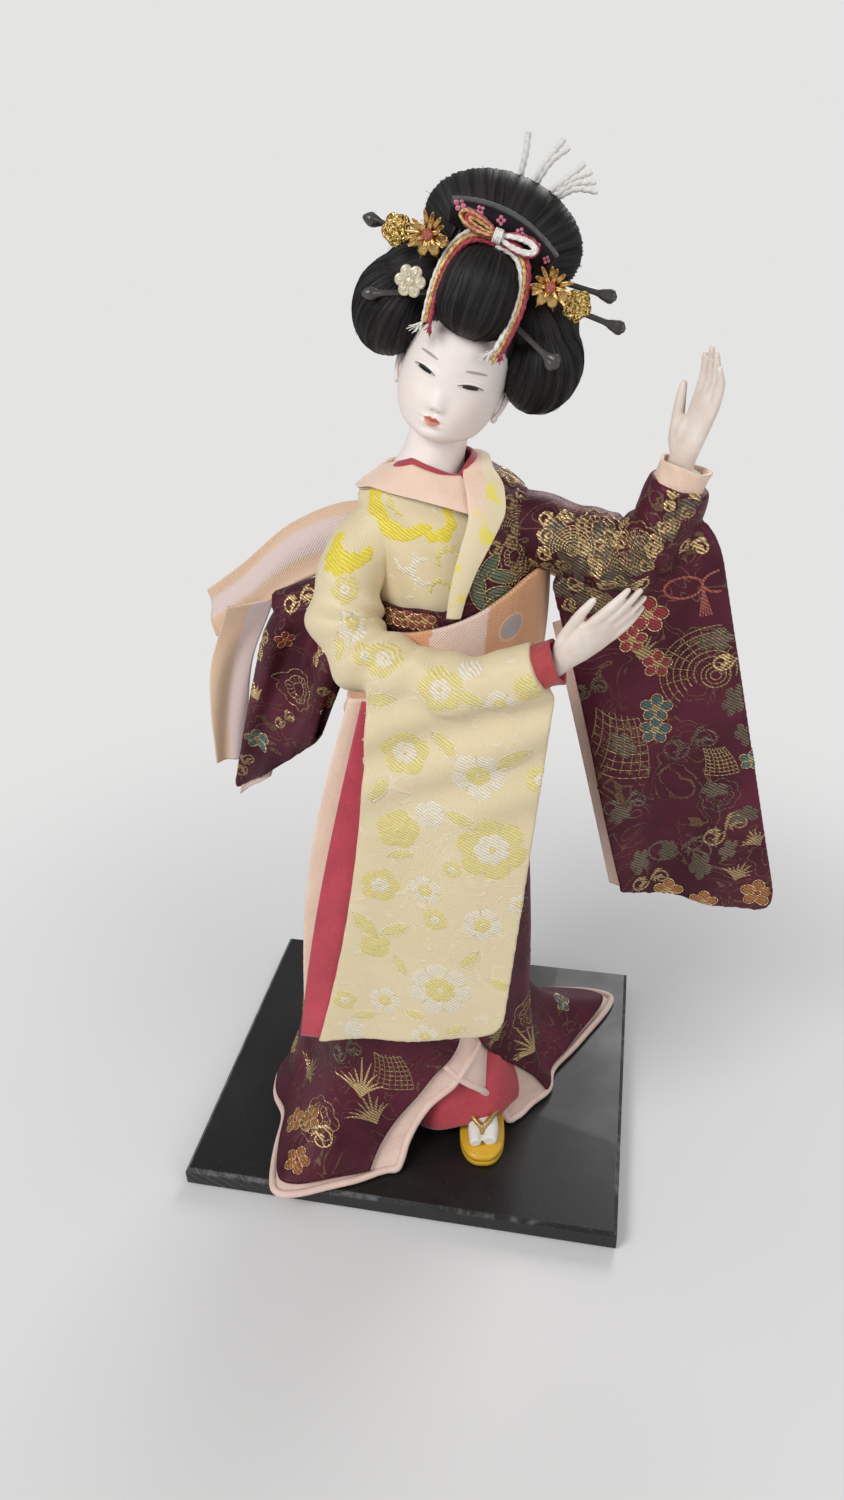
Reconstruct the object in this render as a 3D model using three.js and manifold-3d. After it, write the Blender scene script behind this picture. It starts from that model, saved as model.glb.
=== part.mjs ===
import * as THREE from 'three';
import Module from 'manifold-3d';

// Kimono dancer doll on a lacquered board. Millimetres, +Z up, the doll faces -Y.
// The origin is the middle of the board's underside.

// Board
const BASE_WIDTH = 150;
const BASE_DEPTH = 125;
const BASE_THICKNESS = 8;
const BASE_EDGE = 1.2;

// Fits
const GAP = 0.3;
const WIRE_RADIUS = 1.25;
const PEG_RADIUS = 2.6;
const PIN_RADIUS = 0.7;

// Cloth
const CLOTH = 1.2;
const LINING = 0.9;
const AROUND = 18;
const OBI_THICKNESS = 1.7;
const WAIST_HEIGHT = 188;
const OBI_LOW = WAIST_HEIGHT - 12;
const OBI_HIGH = WAIST_HEIGHT + 15;
const SASH_DROP = 8;
const HEM_HEIGHT = 12;

// Stance
const NECK_BASE = [7.5, -3, 240];
const NECK_LEAN = 15;
const HEAD_LEAN = 6.5;
const HEAD_YAW = 4;
const HEAD_RISE = 24.5;

// Footwear
const SANDAL_LENGTH = 36;
const SANDAL_WIDTH = 17;
const SANDAL_THICKNESS = 5;

const wasm = await Module();
wasm.setup();
const { Manifold, Mesh } = wasm;

const { degToRad: rad, lerp: mix, smoothstep } = THREE.MathUtils;
const at = (x, y, z) => new THREE.Vector3(x, y, z);
const bump = (x, middle, spread) => Math.exp(-(((x - middle) / spread) ** 2));

// Solids from points

function solidOf(points, faces) {
  let volume = 0;
  for (const [a, b, c] of faces) volume += points[a].dot(points[b].clone().cross(points[c]));
  const outward = volume < 0 ? faces.map(([a, b, c]) => [a, c, b]) : faces;
  return new Manifold(new Mesh({
    numProp: 3,
    vertProperties: Float32Array.from(points.flatMap((p) => p.toArray())),
    triVerts: Uint32Array.from(outward.flat()),
  }));
}

const middle = (ring) => ring.reduce((sum, p) => sum.add(p), at(0, 0, 0)).divideScalar(ring.length);

// A closed skin over a row of rings
function loft(rings, start = middle(rings[0]), end = middle(rings.at(-1))) {
  const count = rings[0].length;
  const points = [...rings.flat(), start, end];
  const faces = [];
  rings.forEach((ring, i) => ring.forEach((_, j) => {
    const a = i * count + j;
    const b = i * count + ((j + 1) % count);
    if (i + 1 < rings.length) faces.push([a, b, b + count], [a, b + count, a + count]);
    if (i === 0) faces.push([b, a, points.length - 2]);
    if (i === rings.length - 1) faces.push([a, b, points.length - 1]);
  }));
  return solidOf(points, faces);
}

// A layer of cloth: a surface given a thickness, open or closed into a ring
function sheet(point, across, down, thickness, grow = 0, ring = false) {
  const half = thickness / 2 + grow;
  const reach = (f) => {
    let length = 0;
    for (let i = 0; i < 8; i += 1) length += f(i / 8).distanceTo(f((i + 1) / 8));
    return grow / length;
  };
  const extraU = ring ? 0 : reach((t) => point(t, 0.5));
  const extraV = reach((t) => point(0.5, t));
  const columns = ring ? across : across + 1;
  const front = [];
  const back = [];
  const e = 1e-3;
  for (let j = 0; j <= down; j += 1) {
    for (let i = 0; i < columns; i += 1) {
      const u = mix(-extraU, 1 + extraU, i / across);
      const v = mix(-extraV, 1 + extraV, j / down);
      const p = point(u, v);
      const du = point(u + e, v).sub(point(u - e, v));
      const dv = point(u, v + e).sub(point(u, v - e));
      const n = du.cross(dv).normalize().multiplyScalar(half);
      front.push(p.clone().add(n));
      back.push(p.clone().sub(n));
    }
  }
  const total = front.length;
  const faces = [];
  const wall = (a, b) => faces.push([a, b, b + total], [a, b + total, a + total]);
  for (let j = 0; j <= down; j += 1) {
    for (let i = 0; i < across; i += 1) {
      const a = j * columns + i;
      const b = j * columns + ((i + 1) % columns);
      if (j < down) {
        faces.push([a, b + columns, b], [a, a + columns, b + columns]);
        const c = b + columns + total;
        faces.push([a + total, b + total, c], [a + total, c, a + columns + total]);
      }
      if (j === 0) wall(a, b);
      if (j === down) wall(b, a);
    }
    if (!ring && j < down) {
      wall((j + 1) * columns, j * columns);
      wall(j * columns + across, (j + 1) * columns + across);
    }
  }
  return solidOf([...front, ...back], faces);
}

// A round rod along a smooth path, its radius changing along the way
function rod(path, radii, sides, steps, grow = 0) {
  const curve = new THREE.CatmullRomCurve3(path.map((p) => at(...p)));
  const { tangents, normals, binormals } = curve.computeFrenetFrames(steps);
  const rings = [];
  for (let i = 0; i <= steps; i += 1) {
    const s = (i / steps) * (radii.length - 1);
    const k = Math.min(Math.floor(s), radii.length - 2);
    const radius = mix(radii[k], radii[k + 1], s - k) + grow;
    const c = curve.getPointAt(i / steps);
    if (i === 0) c.addScaledVector(tangents[i], -grow);
    if (i === steps) c.addScaledVector(tangents[i], grow);
    rings.push(Array.from({ length: sides }, (_, j) => {
      const angle = (j / sides) * 2 * Math.PI;
      return c.clone()
        .addScaledVector(normals[i], radius * Math.cos(angle))
        .addScaledVector(binormals[i], radius * Math.sin(angle));
    }));
  }
  return loft(rings);
}

// A rounded lump with three half-axes
function lump([x, y, z], [a, b, c], around, up, grow = 0) {
  const rings = [];
  for (let i = 1; i < up; i += 1) {
    const tilt = -Math.PI / 2 + (Math.PI * i) / up;
    rings.push(Array.from({ length: around }, (_, j) => {
      const angle = (j / around) * 2 * Math.PI;
      return at(
        x + (a + grow) * Math.cos(tilt) * Math.cos(angle),
        y + (b + grow) * Math.cos(tilt) * Math.sin(angle),
        z + (c + grow) * Math.sin(tilt),
      );
    }));
  }
  return loft(rings, at(x, y, z - c - grow), at(x, y, z + c + grow));
}

// A turned form about Z
const turned = (profile, sides) => loft(profile.map(([r, z]) => Array.from({ length: sides }, (_, j) => {
  const angle = (j / sides) * 2 * Math.PI;
  return at(r * Math.cos(angle), r * Math.sin(angle), z);
})));

const moved = (solid, matrix) => solid.transform(Array.from(matrix.elements));
const joined = (...solids) => solids.reduce((a, b) => a.add(b));

// A form cut clear of what it lies against, its largest body kept
function fit(form, ...inner) {
  const cut = inner.reduce((solid, other) => solid.subtract(other(GAP)), form(0));
  return cut.decompose().reduce((a, b) => (a.volume() > b.volume() ? a : b));
}

// A smooth reading of a table whose first column is the position
function along(table, t) {
  let i = 0;
  while (i < table.length - 2 && t > table[i + 1][0]) i += 1;
  const [a, b] = [table[i], table[i + 1]];
  const [before, after] = [table[Math.max(i - 1, 0)], table[Math.min(i + 2, table.length - 1)]];
  const step = b[0] - a[0];
  const s = (t - a[0]) / step;
  return a.slice(1).map((value, k) => {
    const c = k + 1;
    const slopeA = ((b[c] - before[c]) / (b[0] - before[0])) * step;
    const slopeB = ((after[c] - a[c]) / (after[0] - a[0])) * step;
    return value * (1 + 2 * s) * (1 - s) ** 2 + slopeA * s * (1 - s) ** 2
      + b[c] * s * s * (3 - 2 * s) + slopeB * s * s * (s - 1);
  });
}

// A point on a smooth path, run on straight beyond either end
function onPath(curve, t) {
  const s = Math.min(Math.max(t, 0), 1);
  const p = curve.getPoint(s);
  if (s === t) return p;
  const inside = curve.getPoint(s === 0 ? 0.01 : 0.99);
  return p.addScaledVector(p.clone().sub(inside), Math.abs(t - s) / 0.01);
}

// The figure's column: height, middle x and y, half width, half depth
const FIGURE = [
  [30, 4, -5, 26, 22],
  [70, 2, -4, 30, 24],
  [110, 2, -2, 30, 23],
  [150, 6, -2, 25, 20],
  [180, 11, -2, 22, 16.5],
  [205, 13, -2.5, 21.5, 15.5],
  [222, 12, -2.5, 22.6, 15],
  [231, 10.8, -2.5, 22.2, 13],
  [235.5, 9, -3, 19.6, 11.8],
  [239, 8.6, -3, 14, 10.2],
  [242, 9, -3, 10, 9],
  [247, 9.8, -3, 9.2, 8.8],
];

function figure(angle, z, lift = 0) {
  const spot = (t, h) => {
    const [x, y, a, b] = along(FIGURE, h);
    return at(x + a * Math.cos(t), y + b * Math.sin(t), h);
  };
  const p = spot(angle, z);
  if (lift === 0) return p;
  const round = spot(angle + 1e-3, z).sub(spot(angle - 1e-3, z));
  const rise = spot(angle, z + 1e-2).sub(spot(angle, z - 1e-2));
  return p.addScaledVector(round.cross(rise).normalize(), lift);
}

// Colours
const material = (color, roughness, metalness = 0) => ({ color, roughness, metalness });
const LACQUER = material(0x0b0b0c, 0.25);
const STEEL = material(0x8b8d90, 0.35, 1);
const STRAW = material(0xb99a5e, 0.95);
const COTTON = material(0xe9e4d8, 0.95);
const SKIN = material(0xf1ece4, 0.55);
const HAIR = material(0x0c0a0a, 0.5);
const PIN = material(0x2a2a2c, 0.35);
const GOLD = material(0xc79a3a, 0.3, 1);
const SILVER = material(0xe6dfc4, 0.4);
const RIBBON = material(0xb3222e, 0.6);
const CORD = material(0xeeeae0, 0.8);
const RED = material(0xb81f38, 0.75);
const PEACH = material(0xf0c79e, 0.75);
const CREAM = material(0xe4d9a4, 0.6);
const PURPLE = material(0x3d0f28, 0.5);
const PINK = material(0xf0cfc0, 0.75);
const OBI = material(0xe7a173, 0.65);
const TABI = material(0xf3f1ec, 0.8);
const ZORI = material(0xe0b020, 0.5);

const doll = new THREE.Group();
doll.name = 'kimono_doll';
const headGroup = new THREE.Group();
headGroup.name = 'head_group';
doll.add(headGroup);

function add(name, solid, look, group = doll) {
  const { vertProperties, triVerts } = solid.getMesh();
  const geometry = new THREE.BufferGeometry();
  geometry.setAttribute('position', new THREE.BufferAttribute(Float32Array.from(vertProperties), 3));
  geometry.setIndex(new THREE.BufferAttribute(Uint32Array.from(triVerts), 1));
  geometry.computeVertexNormals();
  const mesh = new THREE.Mesh(geometry, new THREE.MeshStandardMaterial(look));
  mesh.name = name;
  group.add(mesh);
}

// Board with eased edges and a blind hole for each leg wire
const FEET = {
  left: { toe: [28, -44], heel: [22.5, -8.5], wire: [20.5, -17] },
  right: { toe: [-6, -24], heel: [-5, 12], wire: [-4.5, 2] },
};
const legWire = (side, grow = 0) => {
  const [x, y] = FEET[side].wire;
  return rod([[x, y, 2 + GAP], [x, y, 40], [x, y, 85]], [WIRE_RADIUS, WIRE_RADIUS], 10, 1, grow);
};
const board = () => {
  const ring = (inset, z) => {
    const [x, y] = [BASE_WIDTH / 2 - inset, BASE_DEPTH / 2 - inset];
    return [at(-x, -y, z), at(x, -y, z), at(x, y, z), at(-x, y, z)];
  };
  const shoulder = BASE_THICKNESS - BASE_EDGE;
  return loft([ring(BASE_EDGE, 0), ring(0, BASE_EDGE), ring(0, shoulder), ring(BASE_EDGE, BASE_THICKNESS)]);
};
const leftLeg = (grow) => legWire('left', grow);
const rightLeg = (grow) => legWire('right', grow);
add('base_board', fit(board, leftLeg, rightLeg), LACQUER);
add('left_leg_wire', leftLeg(), STEEL);
add('right_leg_wire', rightLeg(), STEEL);

// Sandals: a flat rounded sole with a forked thong, and the split-toe sock standing on each
function footFrame({ toe, heel }) {
  const turn = Math.atan2(toe[0] - heel[0], heel[1] - toe[1]);
  return new THREE.Matrix4()
    .makeTranslation((toe[0] + heel[0]) / 2, (toe[1] + heel[1]) / 2, BASE_THICKNESS + GAP)
    .multiply(new THREE.Matrix4().makeRotationZ(turn));
}
const sole = (grow) => {
  const ring = (z) => Array.from({ length: 18 }, (_, j) => {
    const angle = (j / 18) * 2 * Math.PI;
    const [c, s] = [Math.cos(angle), Math.sin(angle)];
    const waist = 1 - 0.1 * bump(s, 0.2, 0.5);
    return at(
      (SANDAL_WIDTH / 2 + grow) * waist * Math.sign(c) * Math.abs(c) ** 0.75,
      (SANDAL_LENGTH / 2 + grow) * Math.sign(s) * Math.abs(s) ** 0.8,
      z,
    );
  });
  return loft([ring(-grow), ring(SANDAL_THICKNESS + grow)]);
};
const THONG_RADIUS = 0.9;
const strap = (side, grow) => rod(
  [[0, -10.5, 4], [0, -10.2, 9.5], [side * 3, -7, 11.5], [side * 6.6, 0, 9.5], [side * 7.2, 4, 4]],
  [THONG_RADIUS, THONG_RADIUS], 4, 4, grow,
);
const thong = (grow) => joined(strap(-1, grow), strap(1, grow));
const sock = (inward) => (grow) => {
  const floor = SANDAL_THICKNESS + GAP - grow;
  const shape = joined(
    lump([0, -3, 8.5], [6, 13, 5.2], 9, 5, grow),
    rod([[0, 5, 8], [inward * 2, 8, 17], [inward * 5, 12, 26]], [5.8, 5.2, 5], 7, 2, grow),
  );
  return shape.trimByPlane([0, 0, 1], floor);
};
const shoe = (grow) => joined(sole(grow), thong(grow));
const leftFrame = footFrame(FEET.left);
const rightFrame = footFrame(FEET.right);
const leftShoe = (grow) => moved(shoe(grow), leftFrame);
const rightShoe = (grow) => moved(shoe(grow), rightFrame);
const leftSock = (grow) => moved(sock(-1)(grow), leftFrame);
const rightSock = (grow) => moved(sock(1)(grow), rightFrame);
add('left_sandal', fit(leftShoe, leftLeg), ZORI);
add('right_sandal', fit(rightShoe, rightLeg), ZORI);
add('left_foot', fit(leftSock, leftShoe, leftLeg), TABI);
add('right_foot', fit(rightSock, rightShoe, rightLeg), TABI);

// Arm wires run from the shoulders to the hands inside cotton wadding
const RIGHT_ARM = [
  [-3, -3, 225], [-8, -5, 226.5], [-13.5, -14, 214], [-11, -25, 198], [12, -33.5, 192.5], [30, -36.5, 195],
  [43, -37, 200],
];
const LEFT_ARM = [
  [22, -3, 225], [35, -3, 226.5], [51, -5, 221.5], [63.5, -7, 219], [70.5, -9, 229.5], [75, -10, 244],
];
const armWire = (path) => (grow) => rod(path, [WIRE_RADIUS, WIRE_RADIUS], 6, 12, grow);
const rightWire = armWire([...RIGHT_ARM, [47, -37.2, 203]]);
const leftWire = armWire([...LEFT_ARM, [76, -10, 248.5]]);
const rightWadding = (grow) => rod(RIGHT_ARM.slice(1), [6.5, 7.2, 7.2, 7, 5.8, 4.4], 7, 7, grow);
const leftWadding = (grow) => rod(LEFT_ARM.slice(1), [6.5, 7, 7, 6, 4.6], 8, 6, grow);

// Neck turned about its own axis, with a peg into the body
const neckFrame = new THREE.Matrix4().makeTranslation(...NECK_BASE)
  .multiply(new THREE.Matrix4().makeRotationZ(rad(HEAD_YAW)))
  .multiply(new THREE.Matrix4().makeRotationY(rad(NECK_LEAN)));
const headFrame = neckFrame.clone()
  .multiply(new THREE.Matrix4().makeTranslation(0, -1, HEAD_RISE))
  .multiply(new THREE.Matrix4().makeRotationY(rad(HEAD_LEAN)));
const neck = (grow) => turned([
  [PEG_RADIUS + grow, -15 - grow], [PEG_RADIUS + grow, -2 - grow], [7.2 + grow, -2 - grow], [6.9 + grow, 4],
  [6.4 + grow, 9], [6.4 + grow, 13], [7.2 + grow, 18],
], 14);

// Body: a bound straw core, bored for the wires and the neck peg
const CHEST = [WAIST_HEIGHT, 205, 219, 227, 232, 237];
const core = () => loft([30, 70, 110, 150, 172, ...CHEST]
  .map((z) => Array.from({ length: AROUND }, (_, j) => figure((j / AROUND) * 2 * Math.PI, z))));
const neckInPlace = (grow) => moved(neck(grow), neckFrame);
add('body_core', fit(core, leftLeg, rightLeg, rightWire, leftWire, neckInPlace,
  leftSock, rightSock), STRAW);
add('right_arm_wire', rightWire(0), STEEL);
add('left_arm_wire', leftWire(0), STEEL);

// Cream under-kimono body
const chestHeight = (v) => {
  const s = v * (CHEST.length - 1);
  const k = Math.min(Math.max(Math.floor(s), 0), CHEST.length - 2);
  return mix(CHEST[k], CHEST[k + 1], s - k);
};
const creamBodice = (grow) => sheet(
  (u, v) => figure(-u * 2 * Math.PI, chestHeight(v), 1.5 * GAP + CLOTH / 2),
  AROUND, CHEST.length - 1, CLOTH, grow, true,
);
add('cream_bodice', fit(creamBodice, rightWire, leftWire, neckInPlace), CREAM);
add('right_arm_wadding', fit(rightWadding, rightWire, creamBodice), COTTON);

// Purple kimono body: worn on the left shoulder, turned down to the waist on the right
const PURPLE_LIFT = 5.5 * GAP + 1.5 * CLOTH;
const purpleTop = (angle) => {
  const turn = THREE.MathUtils.euclideanModulo(angle, 2 * Math.PI) * (180 / Math.PI);
  const fromFront = THREE.MathUtils.euclideanModulo(turn - 270, 360);
  const worn = smoothstep(fromFront, 2, 46) * (1 - smoothstep(fromFront, 180, 235));
  return mix(207, 236, worn);
};
const purpleBodice = (grow) => sheet((u, v) => {
  const angle = -u * 2 * Math.PI;
  const low = WAIST_HEIGHT + GAP + 1;
  const share = (chestHeight(v) - CHEST[0]) / (CHEST.at(-1) - CHEST[0]);
  return figure(angle, mix(low, purpleTop(angle), share), PURPLE_LIFT);
}, AROUND, CHEST.length - 1, CLOTH, grow, true);
add('purple_bodice', fit(purpleBodice, leftWire, neckInPlace), PURPLE);
add('left_arm_wadding', fit(leftWadding, leftWire, (g) => purpleBodice(2 * g), creamBodice), COTTON);

// Collars: a red one standing at the neck, and two peach bands that cross left over right
const redCollar = (grow) => sheet((u, v) => {
  const angle = -u * 2 * Math.PI;
  const dip = 6 * bump(THREE.MathUtils.euclideanModulo(u, 1), 0.24, 0.09);
  return figure(angle, 238.4 - dip + v * 5.6, 4.2 * GAP + CLOTH + LINING / 2);
}, AROUND, 2, LINING, grow, true);
function band(stops, width, lift) {
  const curve = new THREE.CatmullRomCurve3(stops.map(([deg, z]) => at(deg, z, 0)));
  const spot = (t, height) => {
    const c = onPath(curve, t);
    return figure(rad(c.x), c.y, height);
  };
  return (u, v) => {
    const p = spot(u, lift);
    const run = spot(u + 0.01, lift).sub(spot(u - 0.01, lift)).normalize();
    const out = spot(u, lift + 1).sub(p).normalize();
    return p.addScaledVector(out.cross(run), (v - 0.5) * width);
  };
}
const COLLAR_LIFT = PURPLE_LIFT + CLOTH / 2 + 3 * GAP + LINING / 2;
const COLLAR_WIDTH = 8;
const LEFT_COLLAR_LINE = [
  [-90, 206.5], [-87, 212], [-80, 220], [-71, 227], [-58, 233], [-38, 237.5], [-8, 239.5], [40, 241.5],
  [90, 242.5], [135, 242], [160, 241],
];
const RIGHT_COLLAR_LINE = [
  [170, 240.6], [190, 239.2], [210, 238.8], [232, 238.6], [255, 237.4], [277, 235.2], [296, 232.8],
];
const leftBand = band(LEFT_COLLAR_LINE, COLLAR_WIDTH, COLLAR_LIFT);
const rightBand = band(RIGHT_COLLAR_LINE, COLLAR_WIDTH + 0.5, COLLAR_LIFT - 2 * GAP);
const leftCollar = (grow) => sheet(leftBand, 18, 2, LINING, grow);
const rightCollar = (grow) => sheet(rightBand, 9, 2, LINING, grow);
add('red_collar', fit(redCollar, purpleBodice, neckInPlace), RED);
add('left_collar', fit(leftCollar, redCollar, purpleBodice, leftWadding), PEACH);
add('right_collar', fit(
  rightCollar, leftCollar, redCollar, creamBodice, purpleBodice, rightWadding,
), PEACH);

// Obi over the waist, a soft sash under its lower edge
const OBI_LEAN = 5;
const OBI_HITCH = 8.5;
const obiTilt = (angle) => {
  const fromSide = THREE.MathUtils.euclideanModulo(THREE.MathUtils.radToDeg(angle) + 195, 360) - 180;
  return OBI_LEAN * Math.cos(angle) + OBI_HITCH * bump(fromSide, 0, 50) - bump(Math.sin(angle), -1, 0.3);
};
const WAIST_LIFT = PURPLE_LIFT + CLOTH / 2 + 2 * GAP + OBI_THICKNESS / 2;
const obiBand = (grow) => sheet((u, v) => {
  const angle = -u * 2 * Math.PI;
  return figure(angle, mix(OBI_LOW, OBI_HIGH, v) + obiTilt(angle), WAIST_LIFT);
}, AROUND, 2, OBI_THICKNESS, grow, true);
const sash = (grow) => sheet((u, v) => {
  const angle = -u * 2 * Math.PI;
  const z = OBI_LOW - SASH_DROP + v * (SASH_DROP - 3 * GAP) + obiTilt(angle);
  return figure(angle, z, WAIST_LIFT + 0.6 * Math.sin(Math.PI * v));
}, AROUND, 2, CLOTH, grow, true);

// Cream sleeve on the bent right arm
const rightCuff = (grow) => rod(
  [[37, -36.8, 198], [41.5, -36.9, 199.6], [46.5, -37.1, 201.8]],
  [5.6, 5.6, 5.4], 10, 2, grow,
);
const rightSleeveArm = (grow) => rod(
  [[-4, -4, 227], [-13, -13, 215], [-12, -24.5, 198.5], [12, -33.5, 191.5], [30, -36.5, 194],
    [42, -37, 199.5]],
  [9, 9.8, 10, 9.4, 8.4, 7.4], 9, 8, grow,
);
const leftSleeveArm = (grow) => rod(
  [[31, -3, 227], [50, -5, 222], [63, -7, 219.5], [70.5, -9, 229.5], [74, -10, 241]],
  [9.6, 10, 10.5, 9, 8], 10, 8, grow,
);
const leftCuff = (grow) => rod(
  [[71.5, -9.3, 233.5], [73.5, -9.8, 240], [75.3, -10, 246]],
  [6, 6.2, 6.4], 10, 2, grow,
);

// Hands: wrist, flat palm, four fingers and a thumb along +Z, the palm toward +Y
const PALM = [
  [-7, 4, 3.6, 0], [0, 3.7, 3.2, 0], [5, 4.6, 2.9, 0], [10, 5.2, 2.5, 0.4], [14, 4.9, 2.2, 0.8],
  [16, 4, 1.6, 1],
];
function hand(mirror, bend, spread, grow) {
  const palm = loft(PALM.map(([z, a, b, y]) => Array.from({ length: 8 }, (_, j) => {
    const angle = (j / 8) * 2 * Math.PI;
    const [c, s] = [Math.cos(angle), Math.sin(angle)];
    return at(mirror * (a + grow) * c, y + (b + grow) * s, z < 0 ? z - grow : z);
  })));
  const fingers = [[-3.5, 12.5], [-1.2, 14.5], [1.2, 13.5], [3.4, 11]].map(([x, length]) => rod(
    [[mirror * x, 0.6, 12], [mirror * (x + x * 0.1 * spread), 1, 12 + length * 0.55],
      [mirror * (x + x * 0.16 * spread), 1 + bend, 12 + length]],
    [1.55 + grow, 1.4 + grow, 0.95 + grow], 5, 3,
  ));
  const thumb = rod(
    [[mirror * -3.4, 0.8, 3], [mirror * -6.2, 2, 9], [mirror * -7.6, 2.4, 16.5]],
    [2 + grow, 1.7 + grow, 1.2 + grow], 5, 3,
  );
  return joined(palm, thumb, ...fingers);
}
function handFrame([x, y, z], along3, palmward) {
  const up = at(...along3).normalize();
  const side = up.clone().cross(at(...palmward)).normalize().negate();
  const face = up.clone().cross(side);
  return new THREE.Matrix4().makeBasis(side, face, up).setPosition(x, y, z);
}
const rightHandFrame = handFrame([47.5, -37.2, 202.5], [20, -1, 17.5], [-0.35, 1, 0.3]);
const leftHandFrame = handFrame([75.6, -10, 247], [6, 0.5, 28], [-0.75, -0.6, 0]);
const rightHand = (grow) => moved(hand(1, 1.6, 0.9, grow), rightHandFrame);
const leftHand = (grow) => moved(hand(-1, 1.8, 0.7, grow), leftHandFrame);
add('right_hand', fit(rightHand, rightWire, rightWadding), SKIN);
add('left_hand', fit(leftHand, leftWire, leftWadding), SKIN);
add('right_cuff', fit(rightCuff, rightHand, rightWadding), RED);
add('left_cuff', fit(leftCuff, leftHand, leftWadding), PEACH);
add('right_sleeve_arm', fit(
  rightSleeveArm, rightWadding, rightCuff, rightHand, creamBodice, purpleBodice, core, rightCollar, obiBand,
), CREAM);
add('left_sleeve_arm', fit(
  leftSleeveArm, leftWadding, leftCuff, leftHand, (g) => purpleBodice(2 * g), core, leftCollar, obiBand,
), PURPLE);

// Hanging sleeves: a folded bag, closed on its outer edge and open toward the body
function panel([innerTop, outerTop, innerLow, outerLow], wave) {
  const [a, b, c, d] = [innerTop, outerTop, innerLow, outerLow].map((p) => at(...p));
  const face = b.clone().sub(a).cross(c.clone().sub(a)).normalize();
  if (face.y > 0) face.negate();
  return (w, v, depth) => {
    const p = a.clone().lerp(b, w).lerp(c.clone().lerp(d, w), v);
    const ripple = Math.sin(2 * Math.PI * (1.7 * w + 0.25 * v)) * (0.3 + 0.7 * v) * (1 - 0.7 * w * w);
    return p.addScaledVector(face, depth + wave * ripple);
  };
}
const folded = (spot, opening, lean, rounding) => (u, v) => {
  const fold = 1 - Math.abs(2 * u - 1);
  const start = lean * Math.sin(Math.PI * v);
  const w = start + (1 - start) * fold;
  const drop = v * (1 - rounding * smoothstep(w, 0.7, 1));
  const depth = opening * (1 - 0.5 * v) * Math.sqrt(Math.max(1 - fold ** 3, 0));
  return spot(w, drop, u < 0.5 ? -depth : depth);
};
const rightPanel = panel([[-4, -36, 194], [47, -38, 193], [-26, -44.5, 63], [35, -46, 74]], 1.1);
const rightDrop = (grow) => sheet(folded(rightPanel, 4.2, 0.07, 0.05), 14, 6, CLOTH, grow);
const rightRed = (grow) => sheet((u, v) => {
  const edge = -0.02 - 0.1 * Math.sin(0.65 * Math.PI * v);
  return rightPanel(mix(edge, 0.3, u), 0.06 + v * 0.93, 0.75);
}, 3, 6, LINING, grow);
const rightPeach = (grow) => sheet((u, v) => {
  const edge = -0.1 - 0.1 * Math.sin(Math.PI * v);
  return rightPanel(mix(edge, 0.22, u), 0.06 + v * 0.9, -0.75);
}, 3, 6, LINING, grow);
add('right_sleeve_drop', fit(rightDrop, rightSleeveArm), CREAM);
add('right_sleeve_red', fit(rightRed, rightSleeveArm), RED);
add('right_sleeve_peach', fit(rightPeach, rightSleeveArm), PEACH);

const leftPanel = panel([[42.5, -5, 212], [84, -9.5, 235], [68, -7, 109], [117, -7, 105]], 1.8);
const leftDrop = (grow) => sheet(folded(leftPanel, 4.5, 0, 0.03), 14, 6, CLOTH, grow);
const leftLining = (grow) => sheet(
  (u, v) => leftPanel(mix(-0.07, 0.22, u), 0.12 + v * 0.87, 0),
  3, 6, LINING, grow,
);
add('left_sleeve_drop', fit(leftDrop, leftSleeveArm), PURPLE);
add('left_sleeve_lining', fit(leftLining, leftSleeveArm), PINK);

// Skirt of the purple kimono: a flared sheet open at the front, its train spread over the board
const SKIRT = [
  [HEM_HEIGHT, -6, -6, 47, 44],
  [18, -5, -6, 44, 39],
  [35, -3, -5, 40, 35],
  [60, -2, -4, 38, 32.5],
  [88, -0.5, -3, 37, 30],
  [120, 2.5, -2, 33, 26.5],
  [150, 6, -2, 28.3, 23],
  [172, 10, -2, 25, 19.4],
  [WAIST_HEIGHT, 11.8, -2.2, 24.4, 18.7],
];
const skirtLeftEdge = (z) => rad(mix(-94, -58, smoothstep(z, HEM_HEIGHT, 62)));
const skirtRightEdge = (z) => rad(mix(-364, -410, smoothstep(z, HEM_HEIGHT, 62)));
function skirt(turn, z, inset) {
  const spot = (t, h) => {
    const [x, y, a, b] = along(SKIRT, h);
    const low = (h - HEM_HEIGHT) / 15;
    const degrees = THREE.MathUtils.radToDeg(t);
    const train = 19 * bump(degrees, -119, 20) + 36 * bump(degrees, -325, 20);
    const fold = 1.8 * Math.cos(7 * t + 0.6) * (1 - smoothstep(h, 20, 130));
    const out = train * Math.exp(-low) + fold;
    return at(x + (a + out) * Math.cos(t), y + (b + out) * Math.sin(t), h);
  };
  const p = spot(turn, z);
  const round = spot(turn + 1e-3, z).sub(spot(turn - 1e-3, z));
  const rise = spot(turn, z + 1e-2).sub(spot(turn, z - 1e-2));
  return p.addScaledVector(round.cross(rise).normalize(), -inset);
}
const skirtHeight = (v) => {
  const up = 1 - v;
  return HEM_HEIGHT + (WAIST_HEIGHT - HEM_HEIGHT) * up * (0.16 + 0.84 * Math.sqrt(Math.abs(up)));
};
const SKIRT_COLUMNS = 24;
const SKIRT_ROWS = 10;
const purpleSkirt = (grow) => sheet((u, v) => {
  const z = skirtHeight(v);
  return skirt(mix(skirtLeftEdge(z), skirtRightEdge(z), u), z, 0);
}, SKIRT_COLUMNS, SKIRT_ROWS, CLOTH, grow);
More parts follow.
